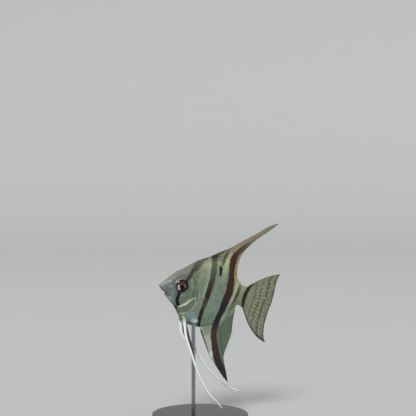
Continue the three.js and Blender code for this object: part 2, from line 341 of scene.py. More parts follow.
class Board:
    # a node tree with short ways to add and join nodes
    def __init__(self, tree):
        self.tree = tree

    def add(self, kind, inputs=None, **settings):
        node = self.tree.nodes.new(kind)
        for key, value in settings.items():
            setattr(node, key, value)
        for key, value in (inputs or {}).items():
            self.feed(node.inputs[key], value)
        return node

    def feed(self, socket, value):
        if isinstance(value, bpy.types.NodeSocket):
            self.tree.links.new(value, socket)
        else:
            socket.default_value = value

    def math(self, operation, *values):
        node = self.add("ShaderNodeMath", operation=operation)
        for i, value in enumerate(values):
            self.feed(node.inputs[i], value)
        return node.outputs[0]

    def times(self, first, *others):
        for other in others:
            first = self.math("MULTIPLY", first, other)
        return first

    def plus(self, first, second):
        return self.math("ADD", first, second)

    def minus(self, first, second):
        return self.math("SUBTRACT", first, second)

    def most(self, first, second):
        return self.math("MAXIMUM", first, second)

    def vector(self, operation, *values):
        node = self.add("ShaderNodeVectorMath", operation=operation)
        for i, value in enumerate(values):
            self.feed(node.inputs[i], value)
        return node.outputs["Value" if operation in ("LENGTH", "DOT_PRODUCT") else "Vector"]

    def ramp(self, value, low, high, toLow=0.0, toHigh=1.0):
        node = self.add("ShaderNodeMapRange", {"Value": value, "From Min": low, "From Max": high,
                                               "To Min": toLow, "To Max": toHigh})
        node.interpolation_type = "SMOOTHSTEP"
        return node.outputs["Result"]

    def mix(self, share, first, second, blend="MIX"):
        node = self.add("ShaderNodeMix", data_type="RGBA", blend_type=blend)
        self.feed(node.inputs[0], share)
        self.feed(node.inputs[6], first)
        self.feed(node.inputs[7], second)
        return node.outputs[2]

    def noise(self, place, scale, detail=2.0, roughness=0.5):
        node = self.add("ShaderNodeTexNoise", {"Vector": place, "Scale": scale, "Detail": detail,
                                               "Roughness": roughness})
        return node.outputs["Fac"]

    def curve(self, value, points):
        # a smooth curve through (input, output) points
        low, high = points[0][0], points[-1][0]
        bottom = min(p[1] for p in points)
        top = max(p[1] for p in points) + 1e-6
        share = self.add("ShaderNodeMapRange", {"Value": value, "From Min": low, "From Max": high})
        node = self.add("ShaderNodeFloatCurve", {"Value": share.outputs["Result"]})
        line = node.mapping.curves[0]
        spots = [((p[0] - low) / (high - low), (p[1] - bottom) / (top - bottom)) for p in points]
        line.points[0].location, line.points[1].location = spots[0], spots[-1]
        for spot in spots[1:-1]:
            line.points.new(*spot)
        node.mapping.update()
        back = self.add("ShaderNodeMapRange", {"Value": node.outputs["Value"], "To Min": bottom,
                                               "To Max": top})
        back.clamp = False
        return back.outputs["Result"]

    def attribute(self, name):
        return self.add("ShaderNodeAttribute", attribute_name=name).outputs["Fac"]


# Stripes that run up the fish. "line" is (up, along) of the middle, "half" is (up, half-width),
# "show" is (up, strength).
stripes = {
    "eyeUpper": {
        "line": [(6, 15.4), (8.3, 16.5), (11.2, 17.7), (13, 18.3), (15, 19.6), (17.5, 21.0),
                 (20.5, 23.2)],
        "half": [(6, 0.9), (8.3, 1.4), (11.2, 1.2), (13, 1.2), (15, 1.8), (20.5, 1.9)],
        "show": [(5, 0.0), (6.5, 0.9), (10, 0.92), (16, 0.85), (20, 0.5), (23, 0.0)], "soft": 0.8,
        "tint": tint(46, 37, 43)},
    "eyeLower": {
        "line": [(-9.2, 15.2), (-7.9, 14.7), (-5, 13.5), (-3.5, 13.3), (-1.2, 13.2), (1.5, 13.4)],
        "half": [(-9.2, 1.15), (-5, 1.1), (1.5, 1.0)],
        "show": [(-9.3, 0.0), (-8.6, 0.98), (0.5, 0.98), (1.5, 0.0)], "soft": 0.35,
        "tint": tint(11, 7, 14)},
    "throat": {
        "line": [(-17.2, 21.4), (-15.4, 18.6), (-12.5, 16.0), (-10, 14.4), (-9, 14.0)],
        "half": [(-17.2, 0.5), (-12.5, 0.95), (-9, 1.3)],
        "show": [(-17.4, 0.0), (-15.5, 0.8), (-10.0, 0.95), (-9.3, 0.0)], "soft": 0.4,
        "tint": tint(22, 17, 24)},
    "shoulder": {
        "line": [(-35, 47.8), (-31, 44.3), (-29, 42.9), (-24, 39.1), (-19, 34.8), (-17.5, 33.4),
                 (-13.3, 31.6), (-9.2, 31.2), (-5, 31.3), (-0.8, 31.5), (5, 31.9), (13.3, 32.35),
                 (21.7, 32.1), (27.5, 31.5)],
        "half": [(-35, 0.35), (-24, 0.55), (-19, 0.8), (-17.5, 1.1), (-13.3, 1.35), (-9.2, 1.35),
                 (-5, 1.5), (-0.8, 1.65), (5, 1.8), (13.3, 1.85), (27.5, 1.8)],
        "show": [(-35, 0.0), (-30, 0.85), (-19, 0.97), (4, 0.97), (11, 0.85), (18, 0.72), (28, 0.72)],
        "soft": 0.4, "tint": tint(46, 22, 20)},
    "middle": {
        "line": [(-47.6, 64.5), (-42.9, 60.0), (-38.3, 55.2), (-32.2, 50.9), (-25.2, 47.3), (-19, 45.0),
                 (-11.7, 44.7), (-7.5, 44.8), (-3.3, 45.2), (0.8, 45.6), (5, 46.0), (9.2, 46.2),
                 (13.3, 46.0), (21.7, 45.2), (27.4, 45.1), (31.2, 45.8), (33.5, 47.2), (36.6, 49.3),
                 (38.9, 51.0), (44, 55.5), (50, 61.4), (55, 66.0), (58.5, 69.5)],
        "half": [(-47.6, 2.6), (-43, 3.1), (-38.3, 3.1), (-32.2, 2.8), (-25.2, 2.4), (-19, 2.15),
                 (-11.7, 2.15), (-3.3, 2.45), (5, 2.7), (13.3, 2.65), (20, 2.35), (31.2, 2.4), (35, 2.2),
                 (39, 1.8), (44, 1.4), (50, 1.1), (58.5, 0.9)],
        "show": [(-47.6, 0.92), (-44, 0.97), (36, 0.98), (43, 0.65), (50, 0.5), (56, 0.35), (58.5, 0.0)],
        "soft": 0.4, "tint": tint(64, 36, 30)},
    "tailBase": {
        "line": [(-4, 62.0), (-1.7, 60.9), (0.6, 59.9), (3.4, 59.1), (7, 58.8), (10.6, 59.4), (14.1, 61.0),
                 (16.6, 63.1), (18.6, 65.8)],
        "half": [(-4, 0.5), (0.6, 1.0), (3.4, 1.25), (7, 1.5), (14.1, 1.4), (16.6, 1.0), (18.6, 0.5)],
        "show": [(-4, 0.0), (-1.5, 0.8), (4, 0.97), (15, 0.97), (18.6, 0.3)], "soft": 0.4,
        "tint": tint(50, 33, 25)},
    "tailSecond": {
        "line": [(-8, 65.6), (-2, 62.8), (3, 62.0), (11, 63.0), (19.5, 65.6), (22, 66.6)],
        "half": [(-8, 0.3), (3, 0.6), (19.5, 0.8), (22, 0.5)],
        "show": [(-8, 0.25), (3, 0.4), (12, 0.5), (19.5, 0.8), (22, 0.4)], "soft": 0.9,
        "tint": tint(84, 62, 48)},
    "tailThird": {
        "line": [(-12, 72.0), (0, 68.6), (13, 69.0), (23, 70.8)],
        "half": [(-12, 0.3), (13, 0.4), (23, 0.5)],
        "show": [(-12, 0.2), (5, 0.35), (20, 0.5), (24, 0.4)], "soft": 1.0, "tint": tint(84, 68, 46)},
    "stalk": {
        "line": [(-5.8, 48.2), (-1.7, 50.2), (2.5, 51.6), (6.7, 52.4), (10, 53.0), (14, 53.4)],
        "half": [(-5.8, 0.6), (2.5, 1.0), (10, 1.3), (14, 0.7)],
        "show": [(-6, 0.0), (0, 0.65), (5, 0.92), (11, 0.85), (15, 0.0)], "soft": 0.7,
        "tint": tint(58, 34, 32)},
    "slit": {
        "line": [(15.4, 37.3), (18.5, 37.1), (21.4, 36.7)],
        "half": [(15.4, 0.5), (18.5, 0.95), (20.5, 1.05), (21.4, 0.7)],
        "show": [(15.2, 0.0), (16.2, 0.98), (21.2, 0.98), (21.8, 0.0)], "soft": 0.3,
        "tint": tint(16, 10, 12)},
    "backBar": {
        "line": [(22, 37.7), (25, 38.4), (28, 38.9), (31.2, 40.1), (33, 41.0)],
        "half": [(22, 0.7), (25, 1.0), (31.2, 1.1), (33, 0.8)],
        "show": [(22.2, 0.0), (24, 0.75), (30, 0.8), (34, 0.4)], "soft": 0.5, "tint": tint(58, 40, 34)},
    "dorsalEdge": {
        "line": [(24.3, 26.6), (28.7, 33.2), (33.5, 40.0), (36, 43.0)],
        "half": [(24.3, 1.0), (28.7, 1.2), (33.5, 1.0), (36, 0.6)],
        "show": [(23, 0.0), (25.5, 0.8), (32, 0.75), (37, 0.0)], "soft": 0.6, "tint": tint(62, 44, 44)},
}
# the middle stripe is bluer low on the flank, and blackish towards the fin's tip
stripes["middleBlue"] = {**stripes["middle"], "show": [(-17, 0.0), (-11, 0.9), (-4, 0.85), (3, 0.0)],
                         "tint": tint(31, 26, 53)}
stripes["middleTip"] = {**stripes["middle"], "show": [(-47.6, 0.9), (-38, 0.85), (-27, 0.5), (-19, 0.0)],
                        "tint": tint(22, 20, 19)}
# paler strokes, laid under the stripes
gleams = {
    "beforeShoulder": {
        "line": [(-10, 28.0), (-3, 28.6), (5, 29.1), (12, 29.2), (24, 28.7)],
        "half": [(-10, 0.5), (5, 0.9), (24, 0.9)],
        "show": [(-12, 0.0), (-3, 0.35), (7, 0.8), (20, 0.7), (25, 0.2)], "soft": 1.5,
        "tint": tint(167, 191, 168)},
    "betweenStripes": {
        "line": [(12, 39.4), (18, 39.8), (24, 40.2), (29, 41.6)],
        "half": [(12, 0.8), (20, 1.6), (29, 1.0)],
        "show": [(9, 0.0), (15, 0.45), (21, 0.75), (29, 0.4)], "soft": 2.0, "tint": tint(188, 206, 160)},
    "shoulderTop": {
        "line": [(8, 24.0), (14, 25.2), (21, 26.8)],
        "half": [(8, 0.8), (14, 1.5), (21, 0.8)],
        "show": [(6, 0.0), (12, 0.5), (17, 0.5), (22, 0.0)], "soft": 2.2, "tint": tint(176, 188, 146)},
    "afterShoulder": {
        "line": [(-14, 35.0), (0, 35.6), (12, 36.4), (22, 35.2)],
        "half": [(-14, 0.6), (12, 1.0), (22, 0.8)],
        "show": [(-16, 0.0), (-6, 0.35), (8, 0.4), (20, 0.5), (25, 0.2)], "soft": 1.4,
        "tint": tint(150, 171, 149)},
    # the next two strokes, on the ridge of the gill seam, are painted highlights
    "gillHighlight": {
        "line": [(-9.4, 16.0), (-8.7, 17.0), (-6.7, 19.2), (-3.7, 21.3), (-1.9, 23.6), (-1.6, 24.3)],
        "half": [(-9.4, 0.5), (-6.7, 0.75), (-3.7, 0.7), (-1.6, 0.5)],
        "show": [(-10, 0.0), (-8.8, 0.85), (-2.2, 0.95), (-1.2, 0.0)], "soft": 0.55,
        "tint": tint(228, 232, 216)},
    "gillForkHighlight": {
        "line": [(-6.5, 25.8), (-4, 25.0), (-2.2, 23.9)],
        "half": [(-6.5, 0.3), (-2.2, 0.5)],
        "show": [(-7, 0.0), (-4.5, 0.6), (-2.2, 0.7), (-1.4, 0.0)], "soft": 0.5,
        "tint": tint(190, 205, 190)},
    "behindMiddle": {
        "line": [(13.5, 50.6), (17, 49.2), (21.7, 48.5), (25, 48.4)],
        "half": [(13.5, 0.5), (21.7, 0.6), (25, 0.4)],
        "show": [(12.5, 0.0), (15, 0.85), (21, 0.8), (26, 0.0)], "soft": 0.5, "tint": tint(184, 138, 84)},
    "rearFlank": {
        "line": [(-14, 47.0), (-4, 49.2), (4, 51.0), (12, 52.0), (16, 52.0)],
        "half": [(-14, 0.4), (-4, 1.2), (4, 1.6), (16, 1.6)],
        "show": [(-15, 0.0), (-8, 0.7), (3, 0.95), (12, 0.9), (15, 0.2)], "soft": 1.4,
        "tint": tint(208, 216, 180)},
    "analFront": {
        "line": [(-36, 50.0), (-29, 45.6), (-24, 42.2), (-19, 39.2), (-16, 38.0)],
        "half": [(-36, 3.2), (-29, 3.4), (-24, 4.0), (-16, 5.4)],
        "show": [(-36, 1.0), (-28, 1.0), (-23, 0.75), (-17, 0.15), (-14, 0.0)], "soft": 1.2,
        "tint": tint(178, 178, 168)},
}
# round spots: (along, up), (radius along, radius up), strength, tint
spots = {
    # a painted highlight on the silvery belly
    "bellyHighlight": ((28.6, -15.2), (2.7, 1.5), 1.0, tint(240, 255, 253)),
    "bellyBlue": ((25.6, -13.4), (3.8, 3.2), 0.62, tint(158, 184, 190)),
    "feelerRoot": ((22.6, -17.6), (2.2, 1.8), 0.8, tint(196, 208, 200)),
    # the next two pale spots on the snout are painted highlights, ahead of the nostril
    "upperSnoutHighlight": ((5.7, 4.0), (1.1, 0.8), 0.45, tint(176, 172, 164)),
    "lowerSnoutHighlight": ((6.1, 0.5), (1.0, 1.3), 0.12, tint(206, 210, 214)),
    "coverDark": ((20.6, -0.4), (3.6, 4.0), 0.45, tint(80, 102, 88)),
    "cheekPale": ((9.0, -3.6), (2.0, 2.2), 0.2, tint(178, 192, 196)),
    "snoutPale": ((4.6, 2.4), (2.8, 1.6), 0.16, tint(170, 168, 166)),
    # small pale flecks on snout and cheek: partly pale mottling, partly painted highlights
    "snoutFleckAndGlint": ((7.4, 1.2), (0.7, 0.6), 0.4, tint(196, 200, 200)),
    "cheekFleckAndGlint": ((8.9, -0.9), (0.6, 0.8), 0.3, tint(186, 194, 196)),
    # painted shadow in the open gape of the mouth
    "mouthShadow": ((3.6, -3.5), (2.3, 0.85), 0.95, tint(14, 11, 13)),
    "analTipPale": ((46.9, -33.6), (1.5, 2.8), 0.75, tint(212, 220, 212)),
    # painted shade: a dark ring of skin round the eye, in its socket and under the lid
    "eyeSocketShade": ((14.0, 3.2), (4.2, 4.2), 0.9, tint(30, 24, 28)),
}
# The ground colour, layer on layer over the back's. "where" holds what bounds a layer: a field,
# and its values where the layer is out and where it is full.
backTint = tint(167, 166, 127)
onShoulder = [("along", 15, 19), ("along", 31, 26)]
groundLayers = {
    "flank": {"tint": tint(133, 149, 133), "where": [("depth", 1, 12)]},
    "lowFlank": {"tint": tint(135, 157, 141), "where": [("depth", 20, 36)]},
    "belly": {"tint": tint(125, 141, 136), "where": [("depth", 34, 42), ("along", 36, 28)]},
    "cover": {"tint": tint(113, 128, 113), "where": [("along", 28, 22), ("along", 12.4, 14.6)],
              "strength": 0.8},
    "forehead": {"tint": tint(112, 108, 103), "where": [("along", 21, 13), ("depth", 12, 6)]},
    "snout": {"tint": tint(124, 134, 136), "where": [("along", 6, 1)]},
    "face": {"tint": tint(100, 112, 115), "where": [("along", 14.8, 12.2), ("depth", 4, 9)]},
    "paleHead": {"tint": tint(156, 158, 154), "where": [("headMottle", 0.5, 0.68), ("along", 17, 12)],
                 "strength": 0.45},
    "darkHead": {"tint": tint(76, 80, 84), "where": [("headMottle", 0.46, 0.32), ("along", 17, 12)],
                 "strength": 0.4},
    "chin": {"tint": tint(158, 177, 174), "where": [("along", 14, 8), ("up", -3.6, -6.4)]},
    "stalk": {"tint": tint(154, 160, 126), "where": [("along", 50, 56)], "strength": 0.85},
    "backEdge": {"tint": tint(64, 60, 60), "strength": 0.95,
                 "where": [("roughDepth", 6.2, 2.6), ("along", 15, 21), ("along", 40, 33)]},
    "paleMottle": {"tint": tint(152, 166, 130), "where": [("mottle", 0.5, 0.8)], "strength": 0.4},
    "paleFleck": {"tint": tint(158, 160, 118), "where": [("fleck", 0.49, 0.64)] + onShoulder,
                  "strength": 0.7},
}
darkMottle = {"tint": tint(80, 90, 72), "mottle": (0.5, 0.25, 0.0, 0.6), "fleck": (0.5, 0.34, 0.0, 0.7),
              "everywhere": 0.12, "shoulder": 0.8}
# scale, detail and roughness of the noises that break up the ground
groundNoise = {"mottle": (0.55, 5.0, 0.68), "headMottle": (0.9, 4.0, 0.65), "fleck": (1.3, 3.0, 0.7)}
markingsLook = {
    "roughBack": 3.0,                   # how far the mottle shifts the dark edge of the back
    "wanderNoise": (0.45, 3.0),
    "wander": 1.2,                      # how far a stripe's edge wanders
    "spotEdge": (1.25, 0.6),            # where a spot begins and is full, in its radii
    "silver": (1.0, 9.0, 0.25, 1.0),    # from and to depth, and the shine there
    "beforeMiddle": (0.0, 1.5),
}


def stripeMask(board, along, up, spec):
    away = board.math("ABSOLUTE", board.minus(along, board.curve(up, spec["line"])))
    past = board.minus(away, board.curve(up, spec["half"]))
    return board.times(board.ramp(past, spec["soft"], -spec["soft"]), board.curve(up, spec["show"]))


def newGroup(name, kind, inputs, outputs):
    # a node group's board, what it is given, what it gives back, and the keys of its inputs
    tree = bpy.data.node_groups.new(name, kind)
    keys = {}
    for label, socketKind, *value in inputs:
        socket = tree.interface.new_socket(label, in_out="INPUT", socket_type="NodeSocket" + socketKind)
        keys[label] = socket.identifier
        if value:
            socket.default_value = value[0]
    for label, socketKind in outputs:
        tree.interface.new_socket(label, in_out="OUTPUT", socket_type="NodeSocket" + socketKind)
    given, result = tree.nodes.new("NodeGroupInput").outputs, tree.nodes.new("NodeGroupOutput").inputs
    return Board(tree), given, result, keys


def layerMask(board, fields, where, strength=1.0):
    (field, out, full), *others = where
    mask = board.ramp(fields[field], out, full, 0.0, strength)
    for field, out, full in others:
        mask = board.times(mask, board.ramp(fields[field], out, full))
    return mask


def groundColour(board, place, along, up, depth):
    # the fish without its stripes
    fields = {"along": along, "up": up, "depth": depth}
    for name, (scale, detail, roughness) in groundNoise.items():
        fields[name] = board.noise(place, scale, detail, roughness)
    fields["roughDepth"] = board.plus(depth, board.times(fields["mottle"], markingsLook["roughBack"]))
    colour = backTint
    for layer in groundLayers.values():
        mask = layerMask(board, fields, layer["where"], layer.get("strength", 1.0))
        colour = board.mix(mask, colour, layer["tint"])
    dark = board.most(*(board.ramp(fields[key], *darkMottle[key]) for key in ("mottle", "fleck")))
    shoulder = board.times(layerMask(board, fields, onShoulder), darkMottle["shoulder"])
    dark = board.times(dark, board.plus(shoulder, darkMottle["everywhere"]))
    return board.mix(dark, colour, darkMottle["tint"])


def markingsGroup():
    # the fish's colours by place, in fish millimetres
    board, given, result, _ = newGroup(
        "fishMarkings", "ShaderNodeTree", [("Place", "Vector")],
        [("Colour", "Color"), ("Stripes", "Float"), ("Silver", "Float"), ("Before middle", "Float")])
    place = given["Place"]
    split = board.add("ShaderNodeSeparateXYZ", {"Vector": place})
    along, up = split.outputs["X"], split.outputs["Z"]
    wander = board.minus(board.noise(place, *markingsLook["wanderNoise"]), 0.5)
    moved = board.plus(along, board.times(wander, markingsLook["wander"]))
    depth = board.minus(board.curve(along, bodyShape["back"]), up)
    colour = groundColour(board, place, along, up, depth)
    for spec in gleams.values():
        colour = board.mix(stripeMask(board, moved, up, spec), colour, spec["tint"])
    total = 0.0
    for spec in stripes.values():
        mask = stripeMask(board, moved, up, spec)
        colour = board.mix(mask, colour, spec["tint"])
        total = board.most(total, mask)
    for (spotAlong, spotUp), (long, high), strength, spotTint in spots.values():
        offset = board.vector("SUBTRACT", place, (spotAlong, 0, spotUp))
        away = board.vector("LENGTH", board.vector("MULTIPLY", offset, (1 / long, 0, 1 / high)))
        colour = board.mix(board.ramp(away, *markingsLook["spotEdge"], 0.0, strength), colour, spotTint)
    shine = board.times(board.minus(1.0, total), board.ramp(depth, *markingsLook["silver"]))
    ahead = board.minus(board.curve(up, stripes["middle"]["line"]), moved)
    board.feed(result["Colour"], colour)
    board.feed(result["Stripes"], total)
    board.feed(result["Silver"], shine)
    board.feed(result["Before middle"], board.ramp(ahead, *markingsLook["beforeMiddle"]))
    return board.tree


markings = markingsGroup()


def fishPlace(board):
    # the place of a point in fish millimetres
    coordinate = board.add("ShaderNodeTexCoord")
    mapping = board.add("ShaderNodeMapping", {"Vector": coordinate.outputs["Object"]},
                        vector_type="TEXTURE")
    mapping.inputs["Location"].default_value = [v / 1000 for v in fishPose["snout"]]
    mapping.inputs["Rotation"].default_value = (0, math.radians(fishPose["headUp"]), 0)
    mapping.inputs["Scale"].default_value = (0.001, 0.001, 0.001)
    return mapping.outputs["Vector"]


def newMaterial(name):
    material = bpy.data.materials.new(name)
    material.use_nodes = True
    board = Board(material.node_tree)
    return material, board, material.node_tree.nodes["Principled BSDF"]


def addMarkings(board, place):
    node = board.add("ShaderNodeGroup")
    node.node_tree = markings
    board.feed(node.inputs["Place"], place)
    return node.outputs


def shade(board, shader, values, look=None, height=None):
    # the shader's values, plain or from the board, and its bump
    for label, value in values.items():
        board.feed(shader.inputs[label], value)
    if look:
        bump = board.add("ShaderNodeBump", {"Height": height, "Strength": look["bump"],
                                            "Distance": look["bumpDepth"]})
        board.feed(shader.inputs["Normal"], bump.outputs["Normal"])


skinLook = {
    "noise": (3.2, 4.0, 0.6),
    "shade": (0.4, 0.7, 0.0, 0.2),      # noise from and to, and the shade's strength there
    "shadeTint": tint(96, 94, 90),
    "poreScale": 2.4, "poreShare": 0.5, "noiseShare": 0.6,
    "metal": 0.25, "coat": 0.25, "bump": 0.2, "bumpDepth": 0.0001,
}
scaleLook = {
    "noise": (5.0, 2.0),
    "tone": 0.2,                        # how far one scale differs from the next
    "darkTone": tint(150, 150, 146), "paleTone": tint(120, 128, 116),
    "rim": (0.66, 1.0, 0.0, 0.26),
    "rimTint": tint(118, 114, 108),
    "metal": 0.35, "coat": 0.2, "bump": 0.25, "bumpDepth": 0.00004,
}
silk = {"rough": (0.3, 0.7, 0.52, 0.62), "silverGloss": 0.22,
        "even": {"Coat Roughness": 0.2, "Specular IOR Level": 0.3}}


def silkySurface(board, shader, look, colour, silver, fine, height):
    # silver parts are glossier than the dark stripes
    rough = board.minus(board.ramp(fine, *silk["rough"]), board.times(silver, silk["silverGloss"]))
    shade(board, shader, {**silk["even"], "Base Color": colour, "Roughness": rough,
                          "Metallic": board.times(silver, look["metal"]),
                          "Coat Weight": board.times(silver, look["coat"])}, look, height)


def skinMaterial():
    material, board, shader = newMaterial("fishSkin")
    place = fishPlace(board)
    marks = addMarkings(board, place)
    fine = board.noise(place, *skinLook["noise"])
    pores = board.add("ShaderNodeTexVoronoi", {"Vector": place, "Scale": skinLook["poreScale"]})
    darker = board.ramp(fine, *skinLook["shade"])
    colour = board.mix(darker, marks["Colour"], skinLook["shadeTint"], "MULTIPLY")
    height = board.plus(board.times(fine, skinLook["noiseShare"]),
                        board.times(pores.outputs["Distance"], skinLook["poreShare"]))
    silkySurface(board, shader, skinLook, colour, marks["Silver"], fine, height)
    return material


def scaleMaterial():
    material, board, shader = newMaterial("fishScales")
    place = fishPlace(board)
    marks = addMarkings(board, place)
    tone, rim = board.attribute("tone"), board.attribute("rim")
    darker = board.ramp(tone, 0.5, 0.0, 0.0, scaleLook["tone"])
    colour = board.mix(darker, marks["Colour"], scaleLook["darkTone"], "MULTIPLY")
    paler = board.times(board.ramp(tone, 0.5, 1.0, 0.0, scaleLook["tone"]), marks["Silver"])
    colour = board.mix(paler, colour, scaleLook["paleTone"], "SCREEN")
    colour = board.mix(board.ramp(rim, *scaleLook["rim"]), colour, scaleLook["rimTint"], "MULTIPLY")
    fine = board.noise(place, *scaleLook["noise"])
    silkySurface(board, shader, scaleLook, colour, marks["Silver"], fine, fine)
    return material


# Clear and streak tints of the membrane and its opacity, and the ray's tint and opacity. "marked" fins
# carry the body's stripes, "bands" is the strength of the cross bands, and "edge" is a margin: where it
# begins and is full, outward and across the rays, and its tint.
finLooks = {
    "dorsal": {"clear": tint(150, 139, 124), "streak": tint(126, 115, 101), "alpha": 0.93,
               "ray": tint(142, 128, 110), "rayAlpha": 1.0, "marked": True,
               "edge": ((0.9, 0.96), (21, 25), tint(186, 198, 184))},
    "anal": {"clear": tint(92, 114, 88), "streak": tint(56, 76, 56), "alpha": 0.68,
             "ray": tint(84, 100, 78), "rayAlpha": 0.95, "marked": True, "bands": 0.2,
             "paleFront": (1.0, 0.9, 0.6, 1.0)},
    "tail": {"clear": tint(126, 142, 92), "streak": tint(96, 112, 66), "alpha": 0.56,
             "ray": tint(98, 98, 62), "rayAlpha": 0.9, "marked": True, "bands": 0.95,
             "edge": ((0.0, 0.05), (14.6, 15.5), tint(54, 42, 32))},
    "pectoral": {"clear": tint(170, 182, 168), "streak": tint(150, 164, 150), "alpha": 0.03,
                 "ray": tint(124, 136, 120), "rayAlpha": 0.13},
    "feeler": {"clear": tint(88, 62, 58), "streak": tint(70, 46, 44), "alpha": 0.96,
               "ray": tint(74, 50, 46), "rayAlpha": 1.0},
}
finFinish = {
    "stretch": (1.6, 1.0, 1.6), "streakNoise": (1.0, 4.0, 0.6), "streaks": (0.35, 0.65),
    "rough": (0.3, 0.7, 0.28, 0.42), "bump": 0.2, "bumpDepth": 0.00003,
    "footShare": (0.16, 0.03),          # how far the body's colour reaches out
    "solid": {"band": 0.85, "pale": 0.95, "marks": 0.97, "edge": 0.94},
    "edgeStrength": 0.85,
    "specular": 0.5, "plainSpecular": 0.2,
}
# cross bands: broad soft ones all over, and rows of dots between the rays near the margin
bandLook = {
    "tint": tint(64, 52, 32),
    "driftNoise": (0.35, 2.0), "drift": 6.0,
    "broad": 31.0, "broadRamp": (-0.2, 0.9, 0.0, 0.85), "broadFrom": (0.2, 0.4),
    "dots": 70.0, "dotRamp": (0.7, 1.5), "dotsFrom": (0.5, 0.8),
    "unevenNoise": (0.9, 2.0), "uneven": 1.4,
    "cell": (-0.6, 0.8, 0.15, 1.0),
}


def crossBands(board, place, share, fan, ray):
    look = bandLook
    drift = board.times(board.noise(place, *look["driftNoise"]), look["drift"])
    waves = board.math("SINE", board.plus(board.times(share, look["broad"]), drift))
    broad = board.times(board.ramp(waves, *look["broadRamp"]), board.ramp(share, *look["broadFrom"]))
    waves = board.math("SINE", board.plus(board.times(share, look["dots"]), drift))
    waves = board.plus(waves, board.times(board.noise(place, *look["unevenNoise"]), look["uneven"]))
    dots = board.times(board.ramp(waves, *look["dotRamp"]), board.ramp(share, *look["dotsFrom"]))
    if not ray:
        cell = board.math("SINE", board.times(fan, math.pi * 2))
        dots = board.times(dots, board.ramp(cell, *look["cell"]))
    return board.most(broad, dots)


def finMaterial(name, ray=False):
    # membrane or ray: clear out on the fin, body-coloured at its foot, with the body's stripes over it
    spec, finish = finLooks[name], finFinish
    material, board, shader = newMaterial(name + ("Ray" if ray else "Web"))
    place = fishPlace(board)
    share, fan = board.attribute("share"), board.attribute("fan")
    streaks = board.noise(board.vector("MULTIPLY", place, finish["stretch"]), *finish["streakNoise"])
    layers = []   # mask, tint, and how solid the fin is there
    if "bands" in spec:
        band = board.times(crossBands(board, place, share, fan, ray), spec["bands"])
        layers.append((band, bandLook["tint"], "band"))
    if "marked" in spec:
        marks = addMarkings(board, place)
        if "paleFront" in spec:
            pale = board.times(marks["Before middle"], board.ramp(share, *spec["paleFront"]))
            layers.append((pale, marks["Colour"], "pale"))
        layers.append((board.ramp(share, *finish["footShare"]), marks["Colour"], "marks"))
        layers.append((marks["Stripes"], marks["Colour"], "marks"))
    if "edge" in spec:
        outward, across, edgeTint = spec["edge"]
        edge = board.ramp(share, *outward, 0.0, finish["edgeStrength"])
        layers.append((board.times(edge, board.ramp(fan, *across)), edgeTint, "edge"))
    membrane = spec["ray"]
    if not ray:
        membrane = board.mix(board.ramp(streaks, *finish["streaks"]), spec["clear"], spec["streak"])
    colour, opacity = membrane, spec["rayAlpha"] if ray else spec["alpha"]
    for mask, layerTint, kind in layers:
        colour = board.mix(mask, colour, layerTint)
        opacity = board.most(opacity, board.times(mask, finish["solid"][kind]))
    specular = finish["specular" if "marked" in spec else "plainSpecular"]
    shade(board, shader, {"Base Color": colour, "Alpha": opacity, "Specular IOR Level": specular,
                          "Roughness": board.ramp(streaks, *finish["rough"])}, finish, streaks)
    return material


eyeShape = {"along": 14.0, "up": 3.2, "side": 2.9, "radius": 4.3, "depth": 2.2,
            "gaze": (-0.55, -0.6), "ball": 0.94, "cornea": 0.99, "rings": 40, "meridians": 64,
            # distances from the pupil's middle where each begins and is full, and heights
            "pupilEdge": (1.6, 1.1), "irisInner": (1.4, 1.6), "irisOuter": (3.4, 2.4),
            "pupilRise": 0.1, "irisSink": 0.12, "darkRim": (3.2, 3.75)}
# (distance from the pupil's middle, colour) where the iris is pale, and where it is dark
irisPale = [(0.0, tint(4, 4, 7)), (1.4, tint(5, 4, 8)), (1.6, tint(214, 196, 188)),
            (2.4, tint(236, 224, 216)), (2.7, tint(96, 58, 48)), (3.1, tint(96, 42, 34)),
            (3.6, tint(60, 28, 26)), (4.1, tint(18, 13, 16))]
irisDark = [(0.0, tint(4, 4, 7)), (1.6, tint(6, 5, 8)), (1.9, tint(30, 22, 24)), (2.7, tint(36, 25, 25)),
            (3.1, tint(70, 30, 28)), (3.6, tint(78, 32, 29)), (3.8, tint(28, 17, 19)),
            (4.1, tint(16, 11, 14))]
# where round the pupil the iris is pale: direction, from and to cosine, strength
irisSides = [((-0.92, -0.38), 0.5, 0.85, 1.0), ((0.82, 0.57), 0.8, 0.97, 0.5),
             ((-0.2, 0.98), 0.6, 1.0, 0.12)]
irisLook = {"noise": (1.8, 5.0, 0.75), "ragged": 0.7, "rimTint": tint(16, 11, 14),
            "rough": (0.3, 0.7, 0.25, 0.4), "bump": 0.3, "bumpDepth": 0.00005,
            "even": {"Specular IOR Level": 0.15}}
corneaLook = {"noise": (0.8, 2.0), "rough": (0.3, 0.7, 0.0, 0.03),
              "even": {"Base Color": (1, 1, 1, 1), "IOR": 1.336, "Transmission Weight": 1.0}}
feelerLook = {"noise": (1.8, 3.0), "whites": (0.3, 0.7),
              "white": (tint(232, 238, 233), tint(250, 252, 250)),
              "foot": (0.09, 0.03), "footTint": tint(160, 174, 164), "rough": (0.3, 0.7, 0.3, 0.42),
              "joints": 520.0, "bump": 0.3, "bumpDepth": 0.00004}


def ringColours(board, radius, stops):
    last = stops[-1][0]
    ramp = board.add("ShaderNodeValToRGB", {"Fac": board.math("DIVIDE", radius, last)})
    elements = ramp.color_ramp.elements
    elements[0].position, elements[0].color = 0.0, stops[0][1]
    elements[1].position, elements[1].color = 1.0, stops[-1][1]
    for distance, colour in stops[1:-1]:
        elements.new(distance / last).color = colour
    return ramp.outputs["Color"]


def fromSpot(board, place, along, up):
    # the way from a spot in the side view
    return board.vector("MULTIPLY", board.vector("SUBTRACT", place, (along, 0, up)), (1, 0, 1))


